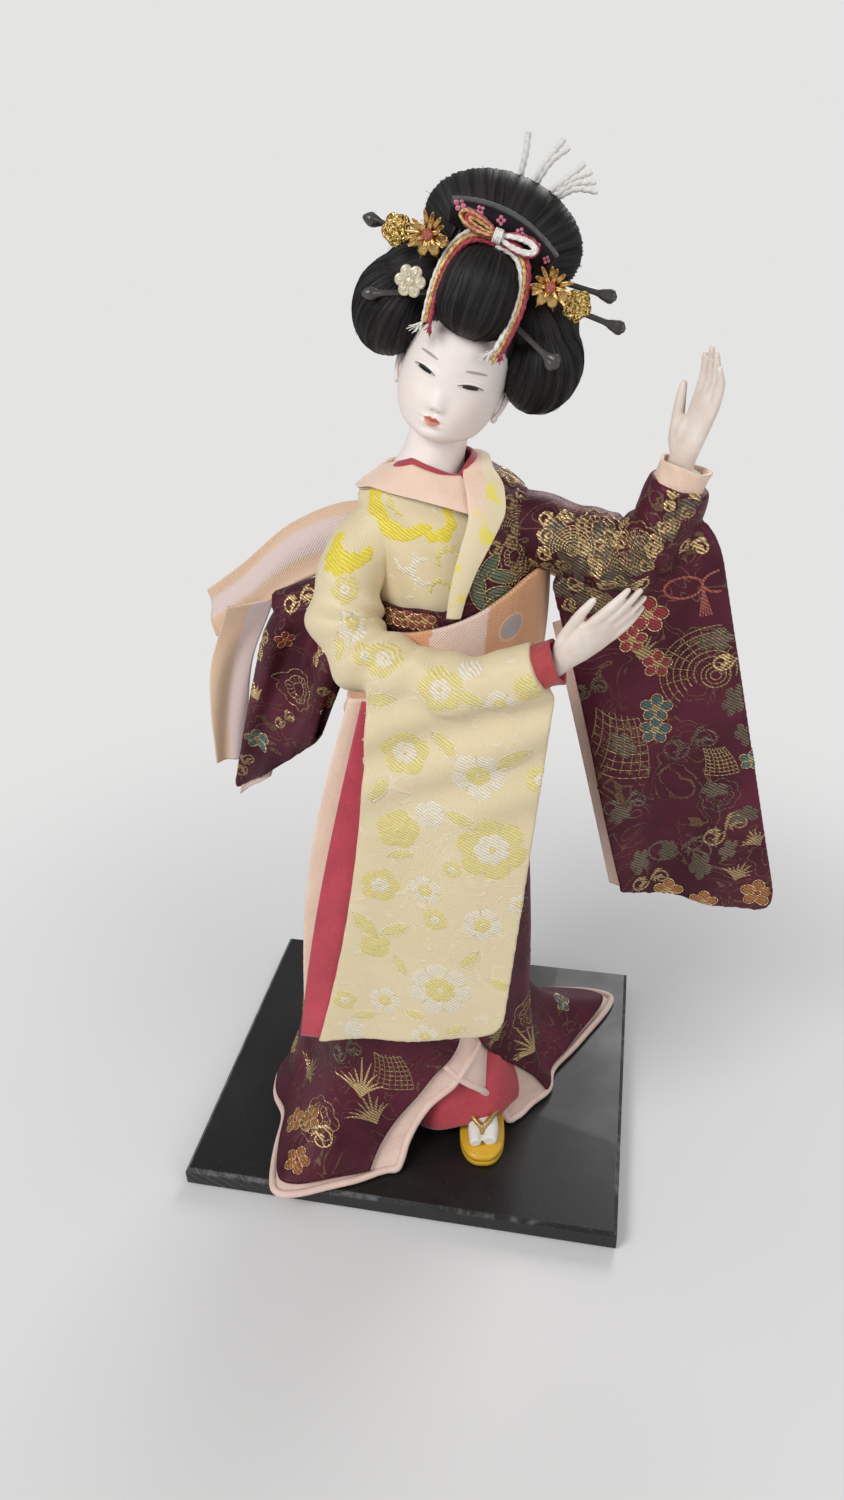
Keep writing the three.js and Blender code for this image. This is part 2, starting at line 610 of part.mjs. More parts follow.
const skirtLining = (grow) => sheet((u, v) => {
  const below = 0.03 * Math.max(5 * v - 4, 0);
  const z = skirtHeight(0.5 + 0.5 * v + below);
  const turn = mix(-1 / SKIRT_COLUMNS, 1 + 2 / SKIRT_COLUMNS, u);
  return skirt(mix(skirtLeftEdge(z), skirtRightEdge(z), turn), z, (CLOTH + LINING) / 2 + 3 * GAP);
}, SKIRT_COLUMNS + 3, SKIRT_ROWS / 2, LINING, grow);
const redSkirt = (grow) => sheet((u, v) => {
  const angle = -u * 2 * Math.PI;
  const overFoot = bump(Math.cos(angle + rad(50)), 1, 0.22);
  const z = mix(66, 10 + 7 * overFoot, v);
  const p = figure(angle, Math.max(z, 30), GAP + 1.2);
  const spread = (2 + 8 * overFoot) * smoothstep(v, 0.2, 1);
  return at(p.x + spread * Math.cos(angle), p.y + spread * Math.sin(angle), z);
}, AROUND, 4, CLOTH, grow, true);
add('red_underskirt', fit(redSkirt, core, leftSock, rightSock, leftShoe), RED);
add('purple_skirt', fit(purpleSkirt, purpleBodice, redSkirt), PURPLE);
add('skirt_lining', fit(skirtLining, redSkirt, leftSock, leftShoe), PINK);
add('waist_sash', sash(0), PINK);
add('obi_band', obiBand(0), OBI);

// Obi tied behind: a drum knot, a wing to each side and a hanging tail
const obiKnot = (grow) => lump([13, 25.5, 193], [14, 7.5, 12], 14, 8, grow);
const ribbonSheet = (stops, width, across) => {
  const curve = new THREE.CatmullRomCurve3(stops.map((p) => at(...p)));
  const flat = at(...across).normalize();
  return (u, v) => onPath(curve, u).addScaledVector(flat, (v - 0.5) * width(u));
};
const LEFT_WING = [[22, 29, 204], [34, 31, 209], [48, 31, 204], [58, 30, 193]];
const RIGHT_WING = [[4, 29, 202], [-20, 28, 211], [-42, 27, 205], [-62, 27, 190], [-75, 28, 181]];
const RIGHT_TAIL = [[-60, 23, 183], [-67, 21, 168], [-70, 20, 150], [-72, 20, 128]];
const LEFT_TAIL = [[18, 33.4, 192], [20, 33, 178], [22, 33, 150], [22, 34, 122]];
const leftWingSpot = ribbonSheet(LEFT_WING, () => 17, [0.2, 0.5, 0.85]);
const rightWingSpot = ribbonSheet(RIGHT_WING, (u) => 23 - 7 * u, [-0.2, 0.45, 0.85]);
const rightTailSpot = ribbonSheet(RIGHT_TAIL, (u) => 16 - 5 * u, [1, 0.35, 0.12]);
const leftTailSpot = ribbonSheet(LEFT_TAIL, () => 16, [1, 0, 0]);
const leftWing = (grow) => sheet(leftWingSpot, 8, 2, OBI_THICKNESS, grow);
const rightWing = (grow) => sheet(rightWingSpot, 10, 2, OBI_THICKNESS, grow);
const rightTail = (grow) => sheet(rightTailSpot, 8, 2, OBI_THICKNESS, grow);
const leftTail = (grow) => sheet(leftTailSpot, 8, 2, OBI_THICKNESS, grow);
add('obi_knot', fit(obiKnot, obiBand, sash), OBI);
add('obi_right_wing', fit(rightWing, obiKnot, obiBand), OBI);
add('obi_left_wing', fit(leftWing, obiKnot, obiBand), OBI);
add('obi_right_tail', fit(rightTail, rightWing, obiKnot), OBI);
add('obi_left_tail', fit(leftTail, leftWing, obiKnot), OBI);

// The empty purple sleeve, slipped off the right shoulder and hanging at the waist
const emptyPanel = panel([[-13, 3, 200], [-47, 8, 194], [-33, 6, 148], [-70, 11, 119]], 2.4);
const emptySleeve = (grow) => sheet(folded(emptyPanel, 5, 0, 0.02), 14, 5, CLOTH, grow);
const emptyLining = (grow) => sheet(
  (u, v) => emptyPanel(mix(0.5, 0.9, u), 0.8 + v * 0.24, 0),
  3, 2, LINING, grow,
);
add('empty_sleeve', fit(emptySleeve, obiBand, sash, purpleSkirt, rightSleeveArm), PURPLE);
add('empty_sleeve_lining', fit(emptyLining, emptySleeve), PINK);

// Head, in its own frame: middle of the ears at the origin
headGroup.applyMatrix4(headFrame);
const FACE = [
  [-12.6, 5.6, 11.8, 0],
  [-10, 9.4, 12.8, 3],
  [-5, 12.5, 13.2, 8],
  [0, 13.4, 12.9, 12],
  [6, 13.4, 13, 14.5],
  [12, 12.2, 12, 14],
  [17, 8.4, 8.6, 10.5],
];
const skull = (grow) => loft([-12.6, -11, -8, -4, 1, 6, 11, 15, 17].map((z) => {
  const [wide, fore, aft] = along(FACE, z);
  return Array.from({ length: 18 }, (_, j) => {
    const angle = (j / 18) * 2 * Math.PI;
    const [c, s] = [Math.cos(angle), Math.sin(angle)];
    return at((wide + grow) * c, (s < 0 ? fore + grow : aft + grow) * s, z);
  });
}), at(0, -4.5, -13.6 - grow), at(0, 0, 19 + grow));
const ear = (side, grow) => lump([side * 13.6, 2, -1], [1.6, 2.4, 4], 8, 6, grow);
const head = (grow) => joined(
  skull(grow),
  lump([0, -13.1, -2.6], [1.6, 2.1, 3.4], 8, 6, grow),
  ear(1, grow), ear(-1, grow),
  moved(neck(grow), headFrame.clone().invert().multiply(neckFrame)),
);
add('head', head(0), SKIN, headGroup);

// Pins and combs are pushed into the hair; each sits in a bored hole
const pinRod = (tip, end) => (grow) => {
  const [a, b] = [at(...tip), at(...end)];
  const out = b.clone().sub(a).normalize();
  const step = (t) => b.clone().addScaledVector(out, t).toArray();
  return joined(
    rod([tip, a.clone().lerp(b, 0.5).toArray(), end], [PIN_RADIUS, PIN_RADIUS], 6, 1, grow),
    rod([step(-6), step(-3), step(-1), step(0.5)], [PIN_RADIUS, 0.9, 1.7, 1.4], 6, 4, grow),
  );
};
const leftPin = pinRod([-8, 6, 29.5], [-34, 5, 28]);
const rightPin = pinRod([7, 6, 30.5], [31, 5, 32.8]);
const rightLowPin = pinRod([9, 2.5, 27], [35.5, -1, 27.6]);
const frontLeftPin = pinRod([-6, -6, 22], [-27, -10, 14]);
const frontRightPin = pinRod([4, -6, 22], [23, -11, 15.5]);

function blossom(radius, petals, depth) {
  const rings = (y, scale) => Array.from({ length: petals * 2 }, (_, j) => {
    const angle = (j / (petals * 2)) * 2 * Math.PI;
    const r = radius * scale * (0.8 + 0.2 * Math.cos(petals * angle));
    return at(r * Math.cos(angle), y, r * Math.sin(angle));
  });
  return loft(
    [rings(0, 0.45), rings(-0.6 * depth, 1), rings(-depth, 0.9), rings(-0.75 * depth, 0.35)],
    at(0, 0.2, 0), at(0, -depth, 0),
  );
}
const shift = (x, y, z) => new THREE.Matrix4().makeTranslation(x, y, z);
const stem = ([x, y, z], length, grow) => rod(
  [[x, y, z], [x, y + length / 2, z], [x, y + length, z]],
  [PIN_RADIUS, PIN_RADIUS], 6, 1, grow,
);
const GOLD_LEFT = [-16.5, -9.5, 31.8];
const GOLD_RIGHT = [14.5, -9.5, 31.5];
const SILVER_SPOT = [-17.2, -10, 20.8];
const goldPin = ([x, y, z], side) => (grow) => {
  const pin = stem([x, y - 0.5, z], 12.5, grow);
  if (grow > 0) return pin;
  return joined(
    pin,
    moved(blossom(5.4, 7, 2.4), shift(x, y, z)),
    moved(blossom(3.2, 5, 2), shift(x, y - 1.6, z)),
    lump([x, y - 3.6, z], [1.1, 1.1, 1.1], 5, 4),
    moved(blossom(3.6, 5, 1.2), shift(x + side * 7.6, y + 1.5, z - 2)),
    rod(
      [[x, y - 0.4, z], [x + side * 4, y + 0.6, z - 1], [x + side * 7.6, y + 1.2, z - 2]],
      [PIN_RADIUS, PIN_RADIUS], 4, 1,
    ),
  );
};
const goldLeft = goldPin(GOLD_LEFT, -1);
const goldRight = goldPin(GOLD_RIGHT, 1);
const silverPin = (grow) => {
  const pin = stem([SILVER_SPOT[0], SILVER_SPOT[1] - 0.5, SILVER_SPOT[2]], 12, grow);
  return grow > 0 ? pin : joined(pin, moved(blossom(3.7, 6, 1.6), shift(...SILVER_SPOT)));
};
const COMB_LEAN = 8;
const COMB_ROLL = 6;
const COMB_THICKNESS = 2.4;
const COMB_EASE = 0.4;
const COMB_FOOT = 23;
const COMB_WIDTH = 28.8;
const COMB_SHOULDER = 8.6;
const COMB_ARCH = 3.3;
const combFrame = shift(-1.2, -5.6, 30.5)
  .multiply(new THREE.Matrix4().makeRotationX(rad(-COMB_LEAN)))
  .multiply(new THREE.Matrix4().makeRotationY(rad(COMB_ROLL)));
const comb = (grow) => {
  const plate = (y, inset) => [
    at(-COMB_FOOT / 2 - grow, y, -grow), at(COMB_FOOT / 2 + grow, y, -grow),
    ...Array.from({ length: 11 }, (_, i) => {
      const share = 1 - i / 5;
      const rise = COMB_ARCH * (1 - share * share);
      return at((COMB_WIDTH / 2 + grow - inset) * share, y, COMB_SHOULDER + rise + grow - inset);
    }),
  ];
  const half = COMB_THICKNESS / 2 + grow;
  const edge = half - COMB_EASE;
  return moved(loft([
    plate(-half, COMB_EASE), plate(-edge, 0), plate(edge, 0), plate(half, COMB_EASE),
  ]), combFrame);
};

// Hair built of combed puffs over a cap
const hairCap = (grow) => lump([0, 6.5, 10.5], [16.5, 16, 17], 12, 8, grow);
const hairFront = (grow) => lump([-1, -8.5, 24.3], [10.4, 9.2, 10.4], 12, 8, grow);
const hairSide = (side) => (grow) => joined(
  lump([side * 20.5, 3, 11.8], [10.5, 13, 12.4], 12, 7, grow),
  lump([side * 15.5, 4.5, 22], [9.8, 11.5, 9.4], 8, 5, grow),
);
const hairTop = (grow) => lump([-0.5, 9, 36], [20.5, 13.5, 13.5], 13, 7, grow);
const bores = [
  leftPin, rightPin, rightLowPin, frontLeftPin, frontRightPin, goldLeft, goldRight, silverPin, comb,
];
const leftHair = hairSide(-1);
const rightHair = hairSide(1);
add('hair_back', fit(hairCap, head, ...bores), HAIR, headGroup);
add('hair_front', fit(hairFront, head, hairCap, ...bores), HAIR, headGroup);
add('hair_right_side', fit(leftHair, head, hairCap, hairFront, ...bores), HAIR, headGroup);
add('hair_left_side', fit(rightHair, head, hairCap, hairFront, ...bores), HAIR, headGroup);
add('hair_topknot', fit(hairTop, hairCap, hairFront, leftHair, rightHair, ...bores), HAIR, headGroup);
add('comb', comb(0), LACQUER, headGroup);
add('upper_pin_right', leftPin(0), PIN, headGroup);
add('upper_pin_left', rightPin(0), PIN, headGroup);
add('lower_pin_left', rightLowPin(0), PIN, headGroup);
add('front_pin_right', frontLeftPin(0), PIN, headGroup);
add('front_pin_left', frontRightPin(0), PIN, headGroup);
add('gold_flower_right', goldLeft(0), GOLD, headGroup);
add('gold_flower_left', goldRight(0), GOLD, headGroup);
add('silver_flower', silverPin(0), SILVER, headGroup);

// Braid round the front puff, tied in a bow, and the paper cords that bind the topknot
const BRAID_FOOT = 14;
const BRAID_RISE = 21.6;
const BRAID_HALF_WIDTH = 10.9;
const braid = (grow) => sheet((u, v) => {
  const angle = Math.PI * u;
  const [c, s] = [Math.cos(angle), Math.max(Math.sin(angle), 0)];
  const gather = 1 - 0.16 * (1 - s) ** 3;
  const x = -0.9 - BRAID_HALF_WIDTH * gather * Math.sign(c) * Math.abs(c) ** 0.55;
  return at(x, -13.2 + 5 * s + (v - 0.5) * 3, BRAID_FOOT + BRAID_RISE * s ** 0.8);
}, 16, 1, 1, grow);
const bow = (grow) => joined(
  lump([-1.2, -9.8, 37], [1.9, 1.9, 1.8], 7, 4, grow),
  lump([-6, -9.6, 38], [5.2, 1.5, 2], 7, 4, grow),
  lump([4.2, -9.6, 37.2], [5.2, 1.5, 2], 7, 4, grow),
);
add('hair_braid', fit(braid, hairFront, hairCap, hairTop, head, ...bores), RIBBON, headGroup);
add('hair_bow', fit(bow, braid, hairFront, hairTop, comb), RIBBON, headGroup);
const tie = (foot, tips) => () => joined(
  lump(foot, [1.5, 1.5, 1.5], 5, 4),
  ...tips.map((tip) => rod([foot, at(...foot).lerp(at(...tip), 0.5).toArray(), tip], [0.6, 0.6], 4, 1)),
);
add('hair_tie_one', fit(tie([0, 10, 50.4], [[-3.2, 9.5, 58.5]]), hairTop), CORD, headGroup);
add('hair_tie_two', fit(tie([3.7, 10, 50.2], [[5, 9, 60], [7.6, 9, 58.6]]), hairTop), CORD, headGroup);
const fan = tie([7.5, 10, 49.6], [[12, 9, 57], [14.4, 9, 56], [16.2, 9, 54.4], [17.4, 9, 52.6]]);
add('hair_tie_fan', fit(fan, hairTop), CORD, headGroup);

export default doll;
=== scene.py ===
import math

import bmesh
import bpy
import numpy as np
from mathutils import Matrix, Vector
from mathutils.bvhtree import BVHTree


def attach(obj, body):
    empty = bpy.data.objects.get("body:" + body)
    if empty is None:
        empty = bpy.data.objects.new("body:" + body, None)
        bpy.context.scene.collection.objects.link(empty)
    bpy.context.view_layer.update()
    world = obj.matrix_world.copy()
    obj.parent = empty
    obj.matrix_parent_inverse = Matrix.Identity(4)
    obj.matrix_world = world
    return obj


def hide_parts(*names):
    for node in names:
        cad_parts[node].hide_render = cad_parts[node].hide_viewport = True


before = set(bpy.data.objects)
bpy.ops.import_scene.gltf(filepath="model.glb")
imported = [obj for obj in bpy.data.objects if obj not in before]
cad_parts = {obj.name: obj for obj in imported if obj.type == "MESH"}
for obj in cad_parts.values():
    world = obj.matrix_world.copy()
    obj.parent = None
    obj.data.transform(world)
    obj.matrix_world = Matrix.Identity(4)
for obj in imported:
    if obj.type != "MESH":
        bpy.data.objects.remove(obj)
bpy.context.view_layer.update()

# Camera
# The doll is seen from above and a little to its left, close by, with a wide lens
# as a phone has, and the camera rolled a touch.
MM = 0.001
camera_turn = math.radians(11.95)
camera_rise = math.radians(30.69)
camera_roll = math.radians(-1.936)
camera_place = Vector((61.8, -281.9, 320.6)) * MM
back = Vector((
    math.sin(camera_turn) * math.cos(camera_rise),
    -math.cos(camera_turn) * math.cos(camera_rise),
    math.sin(camera_rise),
))
level_right = Vector((0, 0, 1)).cross(back).normalized()
level_up = back.cross(level_right)
camera_right = math.cos(camera_roll) * level_right + math.sin(camera_roll) * level_up
camera_up = back.cross(camera_right)
camera_data = bpy.data.cameras.new("camera")
camera_data.lens = 25.118
camera_data.sensor_width = 36
camera_data.clip_start = 0.01
camera = bpy.data.objects.new("camera", camera_data)
camera.matrix_world = Matrix((
    (camera_right.x, camera_up.x, back.x, camera_place.x),
    (camera_right.y, camera_up.y, back.y, camera_place.y),
    (camera_right.z, camera_up.z, back.z, camera_place.z),
    (0, 0, 0, 1),
))
bpy.context.collection.objects.link(camera)
bpy.context.scene.camera = camera
bpy.context.scene.view_settings.view_transform = "Standard"


# Studio
# A pale paper floor that runs out to the horizon, one large soft lamp above the camera's
# left shoulder, a weaker one at the right and one behind, under an even pale sky.
def reckoned(operation, turned=False):
    """A Field's arithmetic with another value, done by a math node."""
    def result(field, other):
        pair = (other, field) if turned else (field, other)
        return field.finish.math(operation, *pair)
    return result


class Field:
    """A number or colour that varies over a surface, worked out by shader nodes."""

    def __init__(self, finish, socket):
        self.finish = finish
        self.socket = socket

    def __abs__(self):
        return self.finish.math("ABSOLUTE", self)

    __add__ = __radd__ = reckoned("ADD")
    __mul__ = __rmul__ = reckoned("MULTIPLY")
    __sub__ = reckoned("SUBTRACT")
    __rsub__ = reckoned("SUBTRACT", turned=True)
    __truediv__ = reckoned("DIVIDE")
    __pow__ = reckoned("POWER")


class Finish:
    """A material and the nodes that draw it. Each call adds a node and gives its output."""

    def __init__(self, name, **constants):
        self.material = bpy.data.materials.new(name)
        self.material.use_nodes = True
        self.nodes = self.material.node_tree.nodes
        self.links = self.material.node_tree.links
        self.shader = self.nodes["Principled BSDF"]
        for socket, value in constants.items():
            self.set(socket.replace("_", " "), value)

    def feed(self, socket, value):
        if isinstance(value, Field):
            self.links.new(value.socket, socket)
        elif isinstance(value, tuple) and len(value) == 3 and socket.type == "RGBA":
            socket.default_value = (*value, 1)
        else:
            socket.default_value = value

    def set(self, socket, value):
        self.feed(self.shader.inputs[socket], value)

    def node(self, kind, inputs, output=0, **settings):
        node = self.nodes.new("ShaderNode" + kind)
        for setting, value in settings.items():
            setattr(node, setting, value)
        for socket, value in inputs.items():
            self.feed(node.inputs[socket], value)
        return Field(self, node.outputs[output])

    def math(self, operation, *values):
        return self.node("Math", dict(enumerate(values)), operation=operation)

    def soft(self, field, low, high):
        inputs = {"Value": field, "From Min": low, "From Max": high}
        return self.node("MapRange", inputs, interpolation_type="SMOOTHSTEP")

    def line(self, field, place, width):
        return 1 - self.soft(abs(field - place), 0.5 * width, width)

    def most(self, *fields):
        best = fields[0]
        for field in fields[1:]:
            best = self.math("MAXIMUM", best, field)
        return best

    def blend(self, share, first, second):
        inputs = {0: share, 6: first, 7: second}
        return self.node("Mix", inputs, output=2, data_type="RGBA")

    def vector(self, x, y, z=0.0):
        return self.node("CombineXYZ", {0: x, 1: y, 2: z})

    def parts(self, vector):
        node = self.nodes.new("ShaderNodeSeparateXYZ")
        self.feed(node.inputs[0], vector)
        return [Field(self, output) for output in node.outputs]

    def noise(self, place, scale, detail=2.0, roughness=0.5, distortion=0.0):
        inputs = {"Vector": place, "Scale": scale, "Detail": detail, "Roughness": roughness,
                  "Distortion": distortion}
        return self.node("TexNoise", inputs)

    def object_place(self):
        return self.node("TexCoord", {}, output=3)

    def cloth_place(self):
        return self.node("UVMap", {}, uv_map="cloth")

    def raise_by(self, height, strength, distance):
        inputs = {"Height": height, "Strength": strength, "Distance": distance}
        self.links.new(self.node("Bump", inputs).socket, self.shader.inputs["Normal"])


def join(name, points, faces, finish):
    """A mesh piece from points in millimetres and faces as lists of point numbers."""
    mesh = bpy.data.meshes.new(name)
    mesh.from_pydata((np.asarray(points, float) * MM).tolist(), [], faces)
    form = bmesh.new()
    form.from_mesh(mesh)
    bmesh.ops.recalc_face_normals(form, faces=form.faces)
    form.to_mesh(mesh)
    form.free()
    mesh.shade_smooth()
    mesh.materials.append(finish.material)
    piece = bpy.data.objects.new(name, mesh)
    bpy.context.collection.objects.link(piece)
    return piece


backdrop_shade = (0.78, 0.775, 0.77)
paper = Finish("paper_floor", Roughness=1.0, Specular_IOR_Level=0.0, Emission_Strength=1.0)
paper_place = paper.object_place()
across, deep, _ = paper.parts(paper_place)
distance = paper.math("SQRT", across * across + deep * deep)
seen = paper.node("LightPath", {}) * paper.soft(distance, 0.10, 0.34)
pulp = paper.blend(paper.noise(paper_place, 6.0, detail=3), (0.70, 0.69, 0.68), (0.74, 0.73, 0.72))
paper.set("Base Color", paper.blend(seen, pulp, (0, 0, 0)))
paper.set("Emission Color", paper.blend(seen, (0, 0, 0), backdrop_shade))
floor_half = 9000
floor_corners = [(floor_half * x, floor_half * y, 0)
                 for x, y in ((-1, -1), (1, -1), (1, 1), (-1, 1))]
floor = join("floor", floor_corners, [(0, 1, 2, 3)], paper)


def lamp(name, place, aim, size, power):
    data = bpy.data.lights.new(name, "AREA")
    data.size = size
    data.energy = power
    light = bpy.data.objects.new(name, data)
    light.location = place
    light.rotation_euler = (Vector(aim) - Vector(place)).to_track_quat("-Z", "Y").to_euler()
    bpy.context.collection.objects.link(light)


doll_middle = (0.01, -0.01, 0.17)
lamp("key_lamp", (-0.55, -0.75, 0.95), doll_middle, 0.5, 9)
lamp("fill_lamp", (0.8, -0.55, 0.5), doll_middle, 0.6, 2.5)
lamp("back_lamp", (0.25, 0.9, 0.8), doll_middle, 0.5, 5)
world = bpy.data.worlds.new("even_sky")
world.use_nodes = True
sky_nodes, sky_links = world.node_tree.nodes, world.node_tree.links
sky_colour, sky_path = sky_nodes.new("ShaderNodeMix"), sky_nodes.new("ShaderNodeLightPath")
sky_colour.data_type = "RGBA"
sky_colour.inputs[6].default_value = (0.331, 0.342, 0.36, 1)
sky_colour.inputs[7].default_value = (*backdrop_shade, 1)
sky_links.new(sky_path.outputs["Is Camera Ray"], sky_colour.inputs[0])
sky_links.new(sky_colour.outputs[2], sky_nodes["Background"].inputs["Color"])
bpy.context.scene.world = world


# Board
# A wooden board in black lacquer with eased edges. Handling has dulled the top, left dust
# and pale specks on it, worn the lacquer thin along the edges and scratched the front.
lacquer = Finish("black_lacquer", Specular_IOR_Level=0.35, Coat_Weight=0.1)
spot = lacquer.object_place()
board_x, board_y, board_z = lacquer.parts(spot)
long_edge = lacquer.soft(abs(board_x), 0.0732, 0.0744)
short_edge = lacquer.soft(abs(board_y), 0.0608, 0.0620)
rim = lacquer.most(long_edge, short_edge) * lacquer.soft(board_z, 0.0060, 0.0072)
rubbed = rim * lacquer.soft(lacquer.noise(spot, 140, detail=4, roughness=0.7), 0.47, 0.66)
specks = lacquer.soft(lacquer.noise(spot, 1500, detail=1), 0.70, 0.78) * 0.5
cloud = lacquer.noise(spot, 28, detail=5, roughness=0.62)
slant = lacquer.math("SINE", (board_x + board_z * 1.6) * 1150)
scratched = lacquer.soft(slant, 0.965, 0.995) * (1 - lacquer.soft(board_x, -0.062, -0.034))
scratched = scratched * (1 - lacquer.soft(board_y, -0.0618, -0.0605))
shade = lacquer.blend(cloud, (0.006, 0.006, 0.0065), (0.018, 0.0165, 0.0155))
shade = lacquer.blend(specks, shade, (0.16, 0.15, 0.14))
shade = lacquer.blend(lacquer.most(rubbed * 0.4, scratched * 0.5), shade, (0.26, 0.26, 0.27))
lacquer.set("Base Color", shade)
lacquer.set("Roughness", lacquer.soft(cloud, 0.25, 0.8) * 0.22 + 0.24)
lacquer.raise_by(cloud + specks * 2, 0.06, 0.0004)


def dress(node, finish):
    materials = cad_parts[node].data.materials
    materials.clear()
    materials.append(finish.material)


dress("base_board", lacquer)


# Inner frame
# Straw bound to a column carries the clothes. Drawn wires run down through it into the board
# and out along the arms, where cotton wadding is wound over them. None of it shows.
def mottled(name, dark, light, scale, detail, bump=None, rough=None, sharp=None, **constants):
    """A finish between two shades that follow a noise. The noise may be sharpened, raise the
    surface by (strength, height) and make the roughness (range, least)."""
    finish = Finish(name, **constants)
    grain = finish.noise(finish.object_place(), scale, detail)
    share = finish.soft(grain, *sharp) if sharp else grain
    finish.set("Base Color", finish.blend(share, dark, light))
    if rough:
        finish.set("Roughness", grain * rough[0] + rough[1])
    if bump:
        finish.raise_by(grain, *bump)
    return finish


wire = mottled("drawn_wire", (0.20, 0.21, 0.22), (0.33, 0.34, 0.35), 400, 2, Metallic=1.0)
wire.set("Roughness", wire.noise(wire.object_place(), 900) * 0.3 + 0.25)
straw = Finish("bound_straw", Roughness=0.95)
across, deep, up = straw.parts(straw.object_place())
stalks = straw.noise(straw.vector(across * 900, deep * 900, up * 25), 1.0, detail=3)
straw.set("Base Color", straw.blend(stalks, (0.30, 0.20, 0.08), (0.60, 0.44, 0.20)))
straw.raise_by(stalks, 0.6, 0.001)
wadding = mottled("wound_cotton", (0.68, 0.64, 0.57), (0.88, 0.86, 0.80), 500, 4,
                  bump=(0.5, 0.001), Roughness=1.0)
for side in ("left", "right"):
    dress(f"{side}_leg_wire", wire)
    dress(f"{side}_arm_wire", wire)
    dress(f"{side}_arm_wadding", wadding)
dress("body_core", straw)


# Sandals
# A flat sole with rounded edges, covered in yellow, and a gold cord thong that is knotted
# through the sole at the toe and forks over the foot to both sides.
def blend_step(x, low, high):
    t = np.clip((x - low) / (high - low), 0, 1)
    return t * t * (3 - 2 * t)


def hump(x, middle, spread):
    return np.exp(-(((x - middle) / spread) ** 2))


def unit(vectors):
    return vectors / np.maximum(np.linalg.norm(vectors, axis=-1, keepdims=True), 1e-12)


def points_at(*axes):
    """Points from their coordinates along each axis."""
    return np.stack(np.broadcast_arrays(*axes), -1)


def full_turn(count):
    return np.linspace(0, 2 * np.pi, count, endpoint=False)


def on_path(path, stations, place):
    """Points of a path, whose own points have stations, at other places along it."""
    return np.stack([np.interp(place, stations, path[:, k]) for k in range(3)], -1)


def smooth_path(stops, steps):
    """Points evenly spaced on a smooth curve through the stops."""
    stops = np.asarray(stops, float)
    run = np.concatenate([[2 * stops[0] - stops[1]], stops, [2 * stops[-1] - stops[-2]]])
    share = np.linspace(0, 1, 24, endpoint=False)[:, None]
    points = []
    for before, start, end, after in zip(run, run[1:], run[2:], run[3:]):
        t0, t1, t2 = (max(np.linalg.norm(b - a), 1e-9) ** 0.5
                      for a, b in ((before, start), (start, end), (end, after)))
        leave = (start - before) / t0 - (end - before) / (t0 + t1) + (end - start) / t1
        reach = (end - start) / t1 - (after - start) / (t1 + t2) + (after - end) / t2
        s = share
        points.append(start * (1 + 2 * s) * (1 - s) ** 2 + leave * t1 * s * (1 - s) ** 2
                      + end * s * s * (3 - 2 * s) + reach * t1 * s * s * (s - 1))
    points = np.concatenate(points + [stops[-1:]])
    length = np.concatenate([[0], np.cumsum(np.linalg.norm(np.diff(points, axis=0), axis=1))])
    return on_path(points, length, np.linspace(0, length[-1], steps + 1))


def rings_form(rings):
    """Points and faces of a closed skin over rows of rings, capped at both ends."""
    rings = np.asarray(rings, float)
    rows, count = rings.shape[:2]
    points = np.concatenate([rings.reshape(-1, 3), [rings[0].mean(0)], [rings[-1].mean(0)]])
    faces = []
    for i in range(rows - 1):
        for j in range(count):
            a, b = i * count + j, i * count + (j + 1) % count
            faces.append((a, b, b + count, a + count))
    for j in range(count):
        faces.append((j, rows * count, (j + 1) % count))
        last = (rows - 1) * count
        faces.append((last + j, last + (j + 1) % count, rows * count + 1))
    return points, faces


def tube_form(stops, radii, sides=12, steps=24, toward=(0.3, -0.9, 0.2), swell=None):
    """A round rod along a smooth path; swell(around, along) may change its radius."""
    path = smooth_path(stops, steps)
    ahead = unit(np.gradient(path, axis=0))
    first = np.asarray(toward, float)
    first = unit(first - (ahead @ first)[:, None] * ahead)
    second = np.cross(ahead, first)
    radius = np.interp(np.linspace(0, 1, steps + 1), np.linspace(0, 1, len(radii)), radii)
    turn = full_turn(sides)
    reach = radius[:, None] * np.ones(sides)
    if swell:
        reach = reach * swell(turn[None, :], np.linspace(0, 1, steps + 1)[:, None])
    round_part = first[:, None] * np.cos(turn)[:, None] + second[:, None] * np.sin(turn)[:, None]
    return rings_form(path[:, None] + reach[..., None] * round_part)


def lump_form(middle, half, around=24, up=14):
    """A rounded lump with three half-axes."""
    tilt = np.linspace(-np.pi / 2, np.pi / 2, up + 1)[1:-1, None]
    turn = full_turn(around)[None]
    ball = np.stack([np.cos(tilt) * np.cos(turn), np.cos(tilt) * np.sin(turn),
                     np.sin(tilt) + 0 * turn], -1)
    points, faces = rings_form(np.asarray(middle, float) + ball * np.asarray(half, float))
    points[-2] = np.asarray(middle) - (0, 0, half[2])
    points[-1] = np.asarray(middle) + (0, 0, half[2])
    return points, faces


def together(*forms):
    """Several forms as one set of points and faces."""
    points, faces, count = [], [], 0
    for form_points, form_faces in forms:
        points.append(form_points)
        faces += [tuple(count + k for k in face) for face in form_faces]
        count += len(form_points)
    return np.concatenate(points), faces


def placed(form, matrix):
    points = np.asarray(form[0]) @ np.array(matrix.to_3x3()).T + np.array(matrix.translation)
    return points, form[1]


def settle(piece):
    """Makes a piece's modifiers permanent."""
    shaped = piece.evaluated_get(bpy.context.evaluated_depsgraph_get())
    mesh = bpy.data.meshes.new_from_object(shaped)
    piece.modifiers.clear()
    piece.data = mesh
    mesh.shade_smooth()


